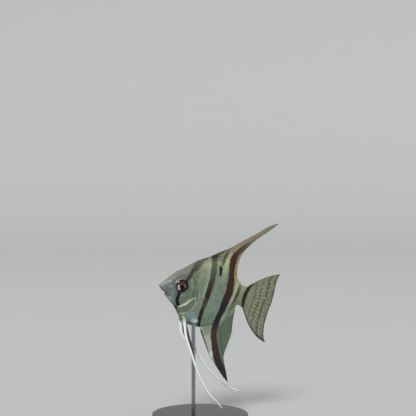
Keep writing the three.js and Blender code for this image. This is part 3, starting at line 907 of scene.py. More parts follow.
def eyeMaterial():
    material, board, shader = newMaterial("fishEye")
    place = fishPlace(board)
    along, up = eyeShape["along"], eyeShape["up"]
    offset = fromSpot(board, place, along + eyeShape["gaze"][0], up + eyeShape["gaze"][1])
    away = board.vector("LENGTH", offset)
    streak = board.noise(place, *irisLook["noise"])
    radius = board.plus(away, board.times(board.minus(streak, 0.5), irisLook["ragged"]))
    pale = 0.0
    for (x, z), low, high, strength in irisSides:
        towards = board.math("DIVIDE", board.vector("DOT_PRODUCT", offset, (x, 0, z)), away)
        pale = board.most(pale, board.ramp(towards, low, high, 0.0, strength))
    colour = board.mix(pale, ringColours(board, radius, irisDark), ringColours(board, radius, irisPale))
    fromMiddle = board.vector("LENGTH", fromSpot(board, place, along, up))
    colour = board.mix(board.ramp(fromMiddle, *eyeShape["darkRim"]), colour, irisLook["rimTint"])
    rough = board.ramp(streak, *irisLook["rough"])
    shade(board, shader, {**irisLook["even"], "Base Color": colour, "Roughness": rough}, irisLook, streak)
    return material


def corneaMaterial():
    material, board, shader = newMaterial("fishCornea")
    fine = board.noise(fishPlace(board), *corneaLook["noise"])
    shade(board, shader, {**corneaLook["even"], "Roughness": board.ramp(fine, *corneaLook["rough"])})
    return material


def feelerMaterial():
    material, board, shader = newMaterial("fishFeeler")
    share = board.attribute("share")
    fine = board.noise(fishPlace(board), *feelerLook["noise"])
    white = board.mix(board.ramp(fine, *feelerLook["whites"]), *feelerLook["white"])
    colour = board.mix(board.ramp(share, *feelerLook["foot"]), white, feelerLook["footTint"])
    joints = board.math("SINE", board.times(share, feelerLook["joints"]))
    shade(board, shader, {"Base Color": colour, "Roughness": board.ramp(fine, *feelerLook["rough"])},
          feelerLook, joints)
    return material


looks = {"skin": skinMaterial(), "scales": scaleMaterial(), "eye": eyeMaterial(),
         "cornea": corneaMaterial(), "feeler": feelerMaterial()}
for finName in finLooks:
    looks[finName + "Web"] = finMaterial(finName)
    looks[finName + "Ray"] = finMaterial(finName, ray=True)
print("materials")

skinShape = {
    # (from, to, step) along the body, closer set on the head
    "steps": [(0.6, 8.0, 0.13), (8.0, 26.0, 0.22), (26.0, 60.6, 0.42)],
    "around": 216,
    "inset": 0.06,
    "underScales": 0.18,
    "tailTaper": 2.7,
    "tailPast": 0.1,    # how far past the body's end the taper would close
    "endHalf": 0.06,    # square of the share of the half-width left at the end
    "sink": (0.8, 0.12),    # deepest the folds go: share of the half-width, and at the thin edges
    "turnSteps": 200,
    # rings that round off the snout: share of the first ring, and how far ahead of it
    "nose": [(0.12, 0.34), (0.4, 0.3), (0.68, 0.2), (0.88, 0.09)],
    "evenShare": 0.4,   # how evenly the rows lie up the side; the rest is set closer at the edges
}
# lines of the head in the side view, (along, up)
headLines = {key: alongPoints(points) for key, points in {
    "gillEdge": [(20.4, 9.8), (23.2, 7.4), (25.2, 2.0), (25.4, -3.4), (23.6, -8.4), (20.3, -12.3),
                 (16.9, -12.9), (13.4, -10.6), (11.0, -8.4)],
    "cheekEdge": [(17.9, 9.6), (19.2, 5.0), (19.2, -0.6), (18.0, -5.2), (14.9, -8.2), (11.4, -7.0)],
    "gillSeam": [(15.6, -9.9), (18.4, -7.6), (21.0, -4.2), (23.6, -1.5), (25.2, -3.2)],
    "lipGroove": [(8.2, -2.4), (6.6, -1.7), (5.4, -0.7), (4.6, 0.5)],
    "chinGroove": [(8.2, -3.9), (7.6, -4.9), (7.4, -6.2)],
    "gapeTop": [(7.4, -3.1), (5.2, -2.75), (3.6, -2.35), (2.3, -2.5)],
    "gapeBottom": [(7.4, -3.3), (6.2, -3.7), (5.3, -4.2), (4.4, -5.0)],
    "socketFold": [(9.4, 6.0), (11.6, 8.3), (14.6, 9.0), (17.6, 8.0), (19.0, 5.6)],
}.items()}
mouth = {"corner": (7.0, -3.25), "pull": 0.6, "depth": 0.55}
nostril = (7.9, 4.4)
pectoralBase = (26.2, -2.2)
pelvicBase = (21.4, -15.4)
# Folds beside the head's lines: line, the side it lies on (0 for both), height, distance, width.
folds = [
    ("cheekEdge", 0, -0.24, 0.0, 0.42), ("cheekEdge", 1, 0.12, 0.9, 0.7),
    ("gillSeam", 0, 0.16, 0.0, 0.4), ("gillSeam", 0, -0.1, 0.8, 0.4),
    ("lipGroove", 0, -0.22, 0.0, 0.4), ("chinGroove", 0, -0.32, 0.0, 0.34),
    ("socketFold", 0, -0.1, 0.0, 0.5),
]
gillStep = {"height": 0.55, "reach": 1.6, "behind": 0.05, "behindReach": 0.5, "from": (11.0, 14.0)}
lipRoll = (0.24, 0.6, 0.5)   # height, distance from the gape, width
# Rolls and pits round a spot: middle, how far it is stretched (along, up), rolls of (height, radius,
# width), and a pit's (depth, from and full radius).
rounds = [
    ((eyeShape["along"], eyeShape["up"]), (1, 1), [(0.26, 4.25, 0.38), (-0.12, 5.1, 0.5)],
     (2.2, 3.95, 3.45)),
    (pectoralBase, (1, 1.5), [(0.3, 0, 1.5)], None),
    (pelvicBase, (1, 1), [(0.7, 0, 1.9)], None),
    (nostril, (1.1, 1), [(0.16, 0.62, 0.22)], (0.55, 0.5, 0.2)),
]
# where the scales begin: along the body, how far that slants with height, and round the eye
scalesFrom = {"along": (9.0, 13.5), "slant": 0.35, "level": 6.0, "eye": (4.4, 5.4)}

mouthOutline = np.concatenate([headLines["gapeTop"], [(0.0, -5.4)], headLines["gapeBottom"][::-1]])
coverOutline = np.concatenate([headLines["gillEdge"], headLines["cheekEdge"][::-1]])


def fromEye(along, up):
    return np.hypot(along - eyeShape["along"], up - eyeShape["up"])


def scaled(along, up):
    # how far the body is covered with scales: none on snout, lips and round the eye
    slanted = along - scalesFrom["slant"] * (up - scalesFrom["level"])
    return ease(*scalesFrom["along"], slanted) * ease(*scalesFrom["eye"], fromEye(along, up))


def relief(along, up):
    # height of the skin's folds over the plain body, in millimetres
    gap, hand = fromLine(along, up, headLines["gillEdge"])
    height = np.where(hand < 0, -gillStep["height"] * np.exp(-gap / gillStep["reach"]),
                      -gillStep["behind"] * np.exp(-gap / gillStep["behindReach"]))
    height *= ease(*gillStep["from"], along)
    for line, side, rise, distance, width in folds:
        gap, hand = fromLine(along, up, headLines[line])
        height += np.where((side == 0) | (hand > 0), rise * hump(gap - distance, width), 0)
    rise, distance, width = lipRoll
    height += rise * hump(lipGap(along, up) - distance, width)
    for (x, z), (long, high), rolls, pit in rounds:
        away = np.hypot((along - x) / long, (up - z) / high)
        for rise, radius, width in rolls:
            height += rise * hump(away - radius, width)
        if pit:
            depth, start, full = pit
            height -= depth * ease(start, full, away)
    return height


def lipGap(along, up):
    return np.minimum(fromLine(along, up, headLines["gapeTop"])[0],
                      fromLine(along, up, headLines["gapeBottom"])[0])


def skinLift(along, up):
    # height of the skin over the plain body; it lies deeper where scales cover it
    return relief(along, up) - skinShape["inset"] - skinShape["underScales"] * scaled(along, up)


def riseAt(v):
    even = skinShape["evenShare"]
    return even * v + (1 - even) * np.sin(v * math.pi / 2)


def turnAt(share, hand):
    # the share of the way round the skin's unwrap of a place at a share (-1 belly, 1 back) of the height
    v = np.linspace(0, 1, skinShape["turnSteps"])
    quarter = np.sign(share) * np.interp(np.abs(share), riseAt(v), v) / 4
    return np.mod(quarter, 1.0) if hand > 0 else 0.5 - quarter


def skinMesh():
    stations = np.concatenate([np.arange(low, high, step) for low, high, step in skinShape["steps"]])
    columns = skinShape["around"]
    turn = np.arange(columns) / columns
    quarter = np.floor(turn * 4).astype(int)
    v = turn * 4 - quarter
    rise = np.where(quarter % 2 == 0, riseAt(v), riseAt(1 - v)) * np.where(quarter < 2, 1, -1)
    hand = np.where((quarter == 0) | (quarter == 3), 1, -1)
    along = np.minimum(np.repeat(stations[:, None], columns, axis=1), bodyShape["length"])
    wide = shape["wide"](along)
    edge, keel = bodyEdge(along, rise >= 0)
    up = wide + (edge - wide) * np.abs(rise)
    tailEnd = bodyShape["length"] + skinShape["tailPast"] - skinShape["tailTaper"]
    pastEnd = np.clip((along - tailEnd) / skinShape["tailTaper"], 0, 1)
    taper = np.sqrt(np.clip(1 - pastEnd**2, skinShape["endHalf"], 1))
    side = shape["half"](along) * (1 - rise**2)**keel * hand * taper
    points = np.stack([along, side, up], axis=-1)
    downBody = np.gradient(points, axis=0)
    roundBody = np.roll(points, -1, axis=1) - np.roll(points, 1, axis=1)
    normal = unit(np.cross(roundBody, downBody))
    sinkShare, sinkThin = skinShape["sink"]
    lift = np.maximum(skinLift(along, up), -np.maximum(np.abs(side) * sinkShare, sinkThin))
    points = points + normal * lift[..., None]
    # the mouth: what lies between the lips is drawn in towards the corner of the gape
    within = np.where(insideOf(along, up, mouthOutline), lipGap(along, up), 0)
    pull = mouth["pull"] * ease(0, mouth["depth"], within)
    points[..., 0] += (mouth["corner"][0] - points[..., 0]) * pull
    points[..., 2] += (mouth["corner"][1] - points[..., 2]) * pull
    first = points[0]
    nose = [first.mean(axis=0) + (first - first.mean(axis=0)) * share - (ahead, 0, 0)
            for share, ahead in skinShape["nose"]]
    points = np.concatenate([nose, points])
    along = np.concatenate([[stations[0] + 0 * turn]] * len(nose) + [along])
    skin = addTube("fishSkin", points, [points[0].mean(axis=0), points[-1].mean(axis=0)])
    uv = np.stack([along / bodyShape["length"], np.repeat(turn[None, :], len(points), axis=0)], axis=-1)
    setUv(skin, "skinUnwrap", np.concatenate([uv.reshape(-1, 2), [[0, 0.5], [1, 0.5]]]))
    return skin


skin = skinMesh()
finishPiece(skin, looks["skin"],
            ("head", "lower_jaw", "gill_cover_left", "gill_cover_right", "trunk", "tail_stalk"))
print("skin", len(skin.data.polygons))


def newTree(name, *inputs):
    geometry = ("Geometry", "Geometry")
    return newGroup(name, "GeometryNodeTree", [geometry, *inputs], [geometry])


def named(board, name, kind):
    return board.add("GeometryNodeInputNamedAttribute", {"Name": name}, data_type=kind).outputs["Attribute"]


def endTree(board, given, result, geometry):
    smooth = board.add("GeometryNodeSetShadeSmooth", {"Geometry": geometry})
    real = board.add("GeometryNodeRealizeInstances", {"Geometry": smooth.outputs[0]})
    dressed = board.add("GeometryNodeSetMaterial", {"Geometry": real.outputs[0],
                                                    "Material": given["Material"]})
    board.feed(result["Geometry"], dressed.outputs[0])


def scaleCoatTree():
    # a scale on every point, lying along "run" under the normal "lie"
    board, given, result, keys = newTree(
        "scaleCoat", ("Scale shape", "Object"), ("Patch size", "Float", 0.003), ("Material", "Material"))
    model = board.add("GeometryNodeObjectInfo", {"Object": given["Scale shape"]})
    turn = board.add("FunctionNodeAxesToRotation", {"Primary Axis": named(board, "lie", "FLOAT_VECTOR"),
                                                    "Secondary Axis": named(board, "run", "FLOAT_VECTOR")},
                     primary_axis="Z", secondary_axis="X")
    placed = board.add("GeometryNodeInstanceOnPoints", {
        "Points": given["Geometry"], "Instance": model.outputs["Geometry"],
        "Rotation": turn.outputs["Rotation"], "Scale": named(board, "size", "FLOAT_VECTOR")})
    real = board.add("GeometryNodeRealizeInstances", {"Geometry": placed.outputs[0]})
    centred = board.vector("SUBTRACT", named(board, "patch", "FLOAT_VECTOR"), (0.5, 0.5, 0))
    small = board.add("ShaderNodeVectorMath", operation="SCALE")
    board.feed(small.inputs[0], centred)
    board.feed(small.inputs["Scale"], given["Patch size"])
    stored = board.add("GeometryNodeStoreNamedAttribute", {"Geometry": real.outputs[0], "Name": "OFBake"},
                       data_type="FLOAT2", domain="CORNER")
    board.feed(stored.inputs["Value"], board.vector("ADD", small.outputs["Vector"],
                                                    named(board, "rootUv", "FLOAT_VECTOR")))
    endTree(board, given, result, stored.outputs[0])
    return board.tree, keys


def rayTree():
    # a round ray along every line, as wide as its points say
    board, given, result, keys = newTree("finRays", ("Sides", "Int", 8), ("Material", "Material"))
    lines = board.add("GeometryNodeMeshToCurve", {"Mesh": given["Geometry"]})
    circle = board.add("GeometryNodeCurvePrimitiveCircle", {"Resolution": given["Sides"], "Radius": 1.0})
    tube = board.add("GeometryNodeCurveToMesh", {
        "Curve": lines.outputs[0], "Profile Curve": circle.outputs["Curve"],
        "Scale": named(board, "rayWidth", "FLOAT"), "Fill Caps": True})
    endTree(board, given, result, tube.outputs[0])
    return board.tree, keys


def grow(piece, tree, keys, values, drop=()):
    # run a tree on a piece, and keep the result as its plain mesh
    modifier = piece.modifiers.new("grow", "NODES")
    modifier.node_group = tree
    for label, value in values.items():
        modifier[keys[label]] = value
    graph = bpy.context.evaluated_depsgraph_get()
    mesh = bpy.data.meshes.new_from_object(piece.evaluated_get(graph), preserve_all_data_layers=True,
                                           depsgraph=graph)
    piece.modifiers.clear()
    seeds = piece.data
    piece.data = mesh
    bpy.data.meshes.remove(seeds)
    for name in drop:
        mesh.attributes.remove(mesh.attributes[name])
    return piece


scaleTree, scaleKeys = scaleCoatTree()
finRayTree, finRayKeys = rayTree()

scaleShape = {
    "rows": [0.0, 0.35, 0.66, 0.9, 1.0],   # from the root to the free edge
    "fan": 7,
    "rootWidth": 0.3,
    "waist": 0.52,
    "thickness": 0.02,
    "crown": 0.1,
}
coat = {
    "pitch": 1.2,         # between scales along a row, on the deepest part
    "rowPitch": 1.3,      # between rows
    "rowsEachWay": 26,
    "overlap": 2.1,       # length of a scale over the pitch
    "spread": 1.62,       # width of a scale over the space between rows
    "rootSink": 0.05,     # how far the root lies under the skin
    "tipLift": 0.09,      # how far the free edge stands over it
    "turnNoise": 0.03,
    "sizeNoise": 0.04,
    "from": 9.5,
    "to": 60.0,
    # where scales grow to full size, from which share: from tail, from head, and at the plates' front
    "growth": {"tail": (60, 40, 0.66), "head": (12, 29, 0.46), "plate": (11, 15, 0.58)},
    "edgeShrink": (0.45, 8),    # how much scales shrink at the body's edge, and how late that starts
    "plates": {"cover": 0.86, "cheek": 0.7},   # pitch on the gill cover and on the cheek
    "plateSpan": (9, 27),
    "plateRows": 1.1,     # space between rows on the plates, over the pitch
    "plateTips": 1.7,     # scales on the plates end inside them
    "plateSink": 0.06,    # how far the plates' foremost scales lie deeper
    "plateSinkTo": (15.0, 11.0),
    # rows on the fins' feet: the body's edge, the way out from it, and where they begin and end
    "finFeet": [("back", 1, 29.0, 49.5), ("belly", -1, 37.0, 54.0)],
    "finPitch": 0.75,
    "finRows": 7,
    "finFirstRow": 0.2,
    "finStagger": 0.45,
    "finLength": 1.7,
    "finWidth": 1.45,
    "patch": 0.003,       # size of a scale on the unwrap
    "unwrap": (0.01, 0.98),   # where the unwrap begins, and its share of the sheet
    "steepest": 0.3,      # sine of a scale's steepest tilt
    "latticeSteps": 600,
    "edgeShare": 0.978,   # how near the body's edge the rows come
    "plateEdgeShare": 0.97,
    "thinnest": 0.12,
    "roundEye": 0.7,
}
sheath = {"half": 0.34, "fade": 5.0, "lift": 0.2}   # the scaly foot of the dorsal and anal fins
pores = {"length": 1.0, "width": 0.42, "spacing": 1.42, "lift": 0.16, "around": 8, "flat": 0.7,
         "profile": [(0.0, 0.25), (0.25, 0.45), (0.75, 0.4), (1.0, 0.2)]}


finOutlines = {key: alongPoints(points) for key, points in {
    "dorsalFront": [(26, 23.4), (32.7, 28.7), (39.8, 33.8), (46.1, 39.4), (54.3, 46.5), (63.6, 55),
                    (70, 58.8)],
    "dorsalRear": [(70, 58.8), (64.5, 52), (59.9, 47.4), (55.6, 42.3), (50.5, 34.2), (49.1, 27.3),
                   (49.5, 22.2), (51.3, 15)],
    "analFront": [(34.3, -16.8), (36.5, -21.6), (43.7, -30.9), (48, -35.7)],
    "analTip": [(48, -35.7), (53.7, -40.2), (59.5, -44.8), (64, -47.6)],
    "analRear": [(64, -47.6), (60.6, -41.2), (57.4, -35.5), (56.1, -31), (57.2, -18), (55.7, -8.6),
                 (55, 3)],
    "tailTop": [(58.9, 14.7), (65.3, 20), (72.9, 24.7), (80, 27.7)],
    "tailRear": [(80, 27.7), (79, 21.5), (79.4, 10.4), (78.6, 2), (78.6, -7), (79.8, -13), (82.2, -17.3)],
    "tailBottom": [(82.2, -17.3), (74.8, -15), (67, -9.1), (60.2, -0.3)],
    "pectoralUpper": [(-2, 2.2), (6, 3.6), (12, 3.2), (15.5, 0.6)],
    "pectoralLower": [(15.5, 0.6), (12, -2.6), (6, -3.6), (-2, -2.2)],
}.items()}
dorsalOutline = np.concatenate([finOutlines["dorsalFront"], finOutlines["dorsalRear"]])
analOutline = np.concatenate([finOutlines["analFront"], finOutlines["analTip"], finOutlines["analRear"]])


def addScaleShape():
    fan, rows = scaleShape["fan"], scaleShape["rows"]
    vertices, patch, rim = [], [], []
    for share in rows:
        for j in np.linspace(-1, 1, fan):
            root = np.array([0.0, scaleShape["rootWidth"] * j])
            angle = j * math.pi / 2
            edge = np.array([scaleShape["waist"] + (1 - scaleShape["waist"]) * math.cos(angle),
                             0.5 * math.sin(angle)])
            x, y = root + (edge - root) * share
            atRim = share in (0.0, 1.0) or abs(j) == 1
            height = 0.0 if atRim else scaleShape["thickness"]
            vertices.append((x, y, height + scaleShape["crown"] * (0.25 - y * y)))
            patch.append((x, y + 0.5, 0))
            rim.append(share * share)
    faces = gridFaces(len(rows), fan, flip=True)
    last = (len(rows) - 1) * fan
    faces.append(list(range(fan)) + [row * fan + fan - 1 for row in range(1, len(rows))]
                 + list(range(last + fan - 2, last - 1, -1))
                 + [row * fan for row in range(len(rows) - 2, 0, -1)])
    piece = addMesh("scaleShape", vertices, faces, world=False)
    setValues(piece, "patch", "FLOAT_VECTOR", patch)
    setValues(piece, "rim", "FLOAT", rim)
    return piece


def addPoreShape():
    # the little tube on a scale of the lateral line
    points = np.array([[(x, width * math.cos(t), width * pores["flat"] * math.sin(t))
                        for t in anglesRound(pores["around"])] for x, width in pores["profile"]])
    ends = [(0, 0, 0), (1, 0, 0)]
    piece = addTube("poreShape", points, ends, world=False)
    vertices = np.concatenate([points.reshape(-1, 3), ends])
    setValues(piece, "patch", "FLOAT_VECTOR", vertices * (1, 1, 0) + (0, 0.5, 0))
    setValues(piece, "rim", "FLOAT", np.zeros(len(vertices)))
    return piece


def beyondBody(along, up):
    return np.maximum(up - shape["back"](along), shape["belly"](along) - up)


def coveredHalf(along, up):
    # half-width of the body, carried on over the scaly feet of the fins
    width, _ = flank(along, up)
    beyond = np.maximum(beyondBody(along, up), 0)
    return np.maximum(width, sheath["half"] * np.exp(-beyond / sheath["fade"]))


def skinPoint(along, up, hand, lift):
    # a point on the fish's side at a height over it, and the normal there
    step = 0.05
    slopeAlong = (coveredHalf(along + step, up) - coveredHalf(along - step, up)) / (2 * step)
    slopeUp = (coveredHalf(along, up + step) - coveredHalf(along, up - step)) / (2 * step)
    normal = unit(np.stack([-slopeAlong, np.full(along.shape, float(hand)), -slopeUp], axis=-1))
    return np.stack([along, hand * coveredHalf(along, up), up], axis=-1) + normal * lift[..., None], normal


def addCoat(name, places, hand, length, width, model, lift=0.0):
    # scales with their roots at places in the side view, on one side of the fish
    along, up = places[:, 0], places[:, 1]
    roots, normal = skinPoint(along, up, hand, skinLift(along, up) - coat["rootSink"] + lift)
    slope = shape["wide"](along + 0.5) - shape["wide"](along - 0.5)
    tailward = np.stack([np.ones(along.shape), np.zeros(along.shape),
                         slope + rng.normal(0, coat["turnNoise"], along.shape)], axis=-1)
    tailward = unit(tailward - normal * (tailward * normal).sum(axis=-1, keepdims=True))
    uneven = rng.uniform(1 - coat["sizeNoise"], 1 + coat["sizeNoise"], (2,) + along.shape)
    length, width = length * uneven[0], width * uneven[1]
    tilt = np.arcsin(np.clip((coat["rootSink"] + coat["tipLift"]) / length, 0, coat["steepest"]))[:, None]
    run = tailward * np.cos(tilt) + normal * np.sin(tilt)
    lie = normal * np.cos(tilt) - tailward * np.sin(tilt)
    wide = shape["wide"](along)
    edge = np.where(up > wide, shape["back"](along) - wide, wide - shape["belly"](along))
    turn = turnAt(np.clip((up - wide) / edge, -1, 1), hand)
    piece = addMesh(name, roots, [])
    size = np.stack([length, width, (length + width) / 2], axis=-1) / 1000
    first, span = coat["unwrap"]
    rootUv = np.stack([first + span * along / bodyShape["length"], first + span * turn, 0 * turn], axis=-1)
    vectors = {"lie": turned(lie), "run": turned(run), "size": size, "rootUv": rootUv}
    for label, values in vectors.items():
        setValues(piece, label, "FLOAT_VECTOR", values)
    setValues(piece, "tone", "FLOAT", rng.uniform(0, 1, along.shape))
    inputs = {"Scale shape": model, "Patch size": coat["patch"], "Material": looks["scales"]}
    grow(piece, scaleTree, scaleKeys, inputs, drop=(*vectors, "patch"))
    print(name, len(places), "scales")
    return finishPiece(piece, looks["scales"])


def lattice(pitch, rowPitch, start, end, shrink):
    # places in staggered rows; rows follow the body's widest line and close up where shrink is small
    fine = np.linspace(start, end, coat["latticeSteps"])
    reached = np.concatenate([[0], np.cumsum(np.diff(fine) / (pitch * shrink(fine[:-1])))])
    columns = int(reached[-1])
    places = []
    for row in range(-coat["rowsEachWay"], coat["rowsEachWay"] + 1):
        spots = np.interp(np.arange(columns) + 0.5 * (row % 2), reached, fine)
        places += list(zip(spots, shape["wide"](spots) + row * rowPitch * shrink(spots)))
    return np.array(places)


def growth(place, along):
    start, full, least = coat["growth"][place]
    return least + (1 - least) * ease(start, full, along)


def bodyShrink(along):
    return growth("tail", along) * growth("head", along)


headOutline = np.concatenate([[(9.0, 13.2), (15.0, 9.6), (19.6, 10.4)], headLines["gillEdge"],
                              [(4.0, -20.0), (-5.0, -20.0), (-5.0, 13.2)]])
cheekOutline = np.concatenate([[(10.9, -6.3), (10.7, -3.2), (13.8, -2.6), (17.0, -1.4), (18.5, 1.4),
                                (18.6, 5.2), (17.9, 9.0)], headLines["cheekEdge"][1:]])


def bodyPlaces():
    places = lattice(coat["pitch"], coat["rowPitch"], coat["from"], coat["to"], bodyShrink)
    along, up = places.T
    width, share = flank(along, up)
    keep = (share < coat["edgeShare"]) & (width > coat["thinnest"]) & ~insideOf(along, up, headOutline)
    return places[keep & (fromEye(along, up) > eyeShape["radius"] + coat["roundEye"])]


def platePlaces(outline, pitch):
    # places whose scales stay inside a plate of the head
    places = lattice(pitch, pitch * coat["plateRows"], *coat["plateSpan"], np.ones_like)
    along, up = places.T
    keep = insideOf(along, up, outline) & insideOf(along + pitch * coat["plateTips"], up, outline)
    return places[keep & (flank(along, up)[1] < coat["plateEdgeShare"])]


def finFootPlaces():
    # rows that follow the body's edge on to the dorsal and anal fins
    places = []
    for edge, way, start, end in coat["finFeet"]:
        for row in range(coat["finRows"]):
            spots = np.arange(start + coat["finStagger"] * (row % 2), end, coat["finPitch"])
            out = way * (row + coat["finFirstRow"]) * coat["finPitch"]
            places += list(zip(spots, shape[edge](spots) + out))
    places = np.array(places)
    tips = places + (coat["finPitch"] * coat["finLength"], 0)
    inFins = [insideOf(*places.T, outline) & insideOf(*tips.T, outline)
              for outline in (dorsalOutline, analOutline)]
    return places[inFins[0] | inFins[1]]


lateralLines = [alongPoints(points) for points in (
    [(23.4, 9.6), (27, 13.8), (32, 16.8), (38, 17.6), (43, 15.6), (47.4, 12.2)],
    [(45.5, 7.0), (52, 7.4), (59.0, 7.6)])]


def lateralPlaces():
    places = []
    for line in lateralLines:
        total = np.linalg.norm(np.diff(line, axis=0), axis=1).sum()
        places.append(onLine(line, np.linspace(0, 1, int(total / pores["spacing"]))))
    return np.concatenate(places)


scaleModel, poreModel = addScaleShape(), addPoreShape()
for side, hand in sides:
    places = bodyPlaces()
    shrink, late = coat["edgeShrink"]
    size = bodyShrink(places[:, 0]) * (1 - shrink * flank(*places.T)[1]**late)
    addCoat(f"bodyScales{side}", places, hand, coat["pitch"] * coat["overlap"] * size,
            coat["rowPitch"] * coat["spread"] * size, scaleModel)
    for part, outline in (("cover", coverOutline), ("cheek", cheekOutline)):
        pitch = coat["plates"][part]
        places = platePlaces(outline, pitch)
        size = pitch * growth("plate", places[:, 0])
        deeper = -coat["plateSink"] * ease(*coat["plateSinkTo"], places[:, 0])
        addCoat(f"{part}Scales{side}", places, hand, size * coat["overlap"], size * coat["spread"],
                scaleModel, deeper)
    addCoat(f"finScales{side}", finFootPlaces(), hand, coat["finPitch"] * coat["finLength"],
            coat["finPitch"] * coat["finWidth"], scaleModel, sheath["lift"])
    addCoat(f"lateralPores{side}", lateralPlaces(), hand, pores["length"], pores["width"], poreModel,
            pores["lift"])
for model in (scaleModel, poreModel):
    bpy.data.objects.remove(model)


def addGlobe(name, hand, factor, shaped):
    # a flattened ball; a shaped one has its iris sunk round a raised pupil
    theta, phi = np.meshgrid(np.linspace(0, math.pi, eyeShape["rings"] + 1)[1:-1],
                             anglesRound(eyeShape["meridians"]), indexing="ij")
    radius, depth = eyeShape["radius"] * factor, eyeShape["depth"] * factor
    a, h = radius * np.sin(theta) * np.cos(phi), radius * np.sin(theta) * np.sin(phi)
    rise = depth * np.cos(theta)
    if shaped:
        away = np.hypot(a - eyeShape["gaze"][0], h - eyeShape["gaze"][1])
        pupil = eyeShape["pupilRise"] * ease(*eyeShape["pupilEdge"], away)
        ring = ease(*eyeShape["irisInner"], away) * ease(*eyeShape["irisOuter"], away)
        rise = rise + np.where(theta < math.pi / 2, pupil - eyeShape["irisSink"] * ring, 0)
    centre = np.array([eyeShape["along"], hand * eyeShape["side"], eyeShape["up"]])
    points = np.stack([a, hand * rise, h], axis=-1) + centre
    return addTube(name, points, centre + [[0, hand * depth, 0], [0, -hand * depth, 0]], flip=hand < 0)


for side, hand in sides:
    ball = addGlobe(f"eyeBall{side}", hand, eyeShape["ball"], True)
    finishPiece(ball, looks["eye"], (f"eye_{side.lower()}",))
    finishPiece(addGlobe(f"cornea{side}", hand, eyeShape["cornea"], False), looks["cornea"])
print("eyes")

finDefaults = {
    "spines": 0, "fork": 0.5, "splay": 0.24, "sides": 8,
    "ripple": 0.06, "waves": (9.0, 2.0),        # across the rays and along them
    # the web: columns for each ray, rows, how far out it goes, and how far it falls short between rays
    "perRay": 4, "rows": 30, "reach": 0.995, "notch": 0.04, "softNotch": 0.3, "notchFull": 0.4,
    "thick": 0.05, "footThick": 0.24, "footReach": 0.1,
    # a line's stations, and its width as shares at the start and lost on the way
    "spine": (22, 1.0, 0.72), "stem": (14, 1.0, 0.45), "branch": (16, 0.52, 0.3),
}
finShapes = {
    # foot: along at each share of the fin; margin: 0 to 1 runs up the front edge, 1 to 2 down the rear
    "dorsal": {"front": finOutlines["dorsalFront"], "rear": finOutlines["dorsalRear"], "edge": "back",
               "foot": [(0, 27.2), (0.34, 38.0), (0.7, 46.2), (1, 50.6)],
               "margin": [(0, 0.05), (0.34, 0.55), (0.47, 0.985), (0.62, 1.26), (0.8, 1.6), (1, 1.9)],
               "bow": [(0, 0.0), (0.34, 0.5), (0.55, 1.7), (0.8, 1.2), (1, 0.2)],
               "spines": 12, "rays": 24, "spineWidth": 0.26, "rayWidth": 0.2, "notch": 0.05},
    "anal": {"front": np.concatenate([finOutlines["analFront"], finOutlines["analTip"][1:]]),
             "rear": finOutlines["analRear"], "edge": "belly",
             "foot": [(0, 35.2), (0.2, 39.5), (0.6, 47.8), (1, 54.6)],
             "margin": [(0, 0.08), (0.2, 0.5), (0.42, 0.985), (0.6, 1.3), (0.8, 1.6), (1, 1.88)],
             "bow": [(0, 0.0), (0.2, -0.3), (0.5, -0.8), (0.8, -0.6), (1, 0.0)],
             "spines": 6, "rays": 25, "spineWidth": 0.24, "rayWidth": 0.19, "turned": True},
    "tail": {"foot": [(58.6, 13.4), (59.6, 10.4), (59.9, 6.9), (59.9, 3.8), (59.4, 1.2)],
             "rays": 16, "rayWidth": 0.22, "notch": 0.03, "fork": 0.3, "rows": 34, "ripple": 0.12,
             "footThick": 0.4},
    "pectoral": {"rays": 12, "rayWidth": 0.09, "notch": 0.03, "rows": 18, "ripple": 0.1, "footThick": 0.12,
                 "root": (26.2, 4.9, -2.2), "spread": 24, "droop": 14, "firstRay": (0.1, 0.72),
                 "lastRay": (0.1, 0.6), "raySteps": 30, "marginSteps": (16, 20), "footSteps": 5},
}


def medianFinPoint(spec):
    # rays fan out from the body's edge to the fin's margin, each a little bowed
    foot, margin, bow = (throughPairs(spec[key]) for key in ("foot", "margin", "bow"))
    inward = -1.0 if spec["edge"] == "back" else 1.0

    def point(t, s):
        along = foot(t)
        start = np.stack([along, shape[spec["edge"]](along) + inward], axis=-1)
        reach = margin(t)
        front = onLine(spec["front"], np.clip(reach, 0, 1))
        rear = onLine(spec["rear"], np.clip(reach - 1, 0, 1))
        span = np.where((reach <= 1)[..., None], front, rear) - start
        across = unit(np.stack([-span[..., 1], span[..., 0]], axis=-1))
        return start + span * s[..., None] + across * (bow(t) * 4 * s * (1 - s))[..., None]

    return point


def fanPoint(foot, first, last, margin):
    # a fan between a first and a last ray that may curve
    def point(t, s):
        share, reach = t[..., None], s[..., None]
        start, end = onLine(foot, t), onLine(margin, t)
        bend = (1 - share) * (onLine(first, s) - (first[0] + (first[-1] - first[0]) * reach))
        bend = bend + share * (onLine(last, s) - (last[0] + (last[-1] - last[0]) * reach))
        return start + (end - start) * reach + bend

    return point


def inMiddle(points, offset):
    # a median fin stands in the fish's middle plane
    return np.stack([points[..., 0], offset, points[..., 1]], axis=-1)


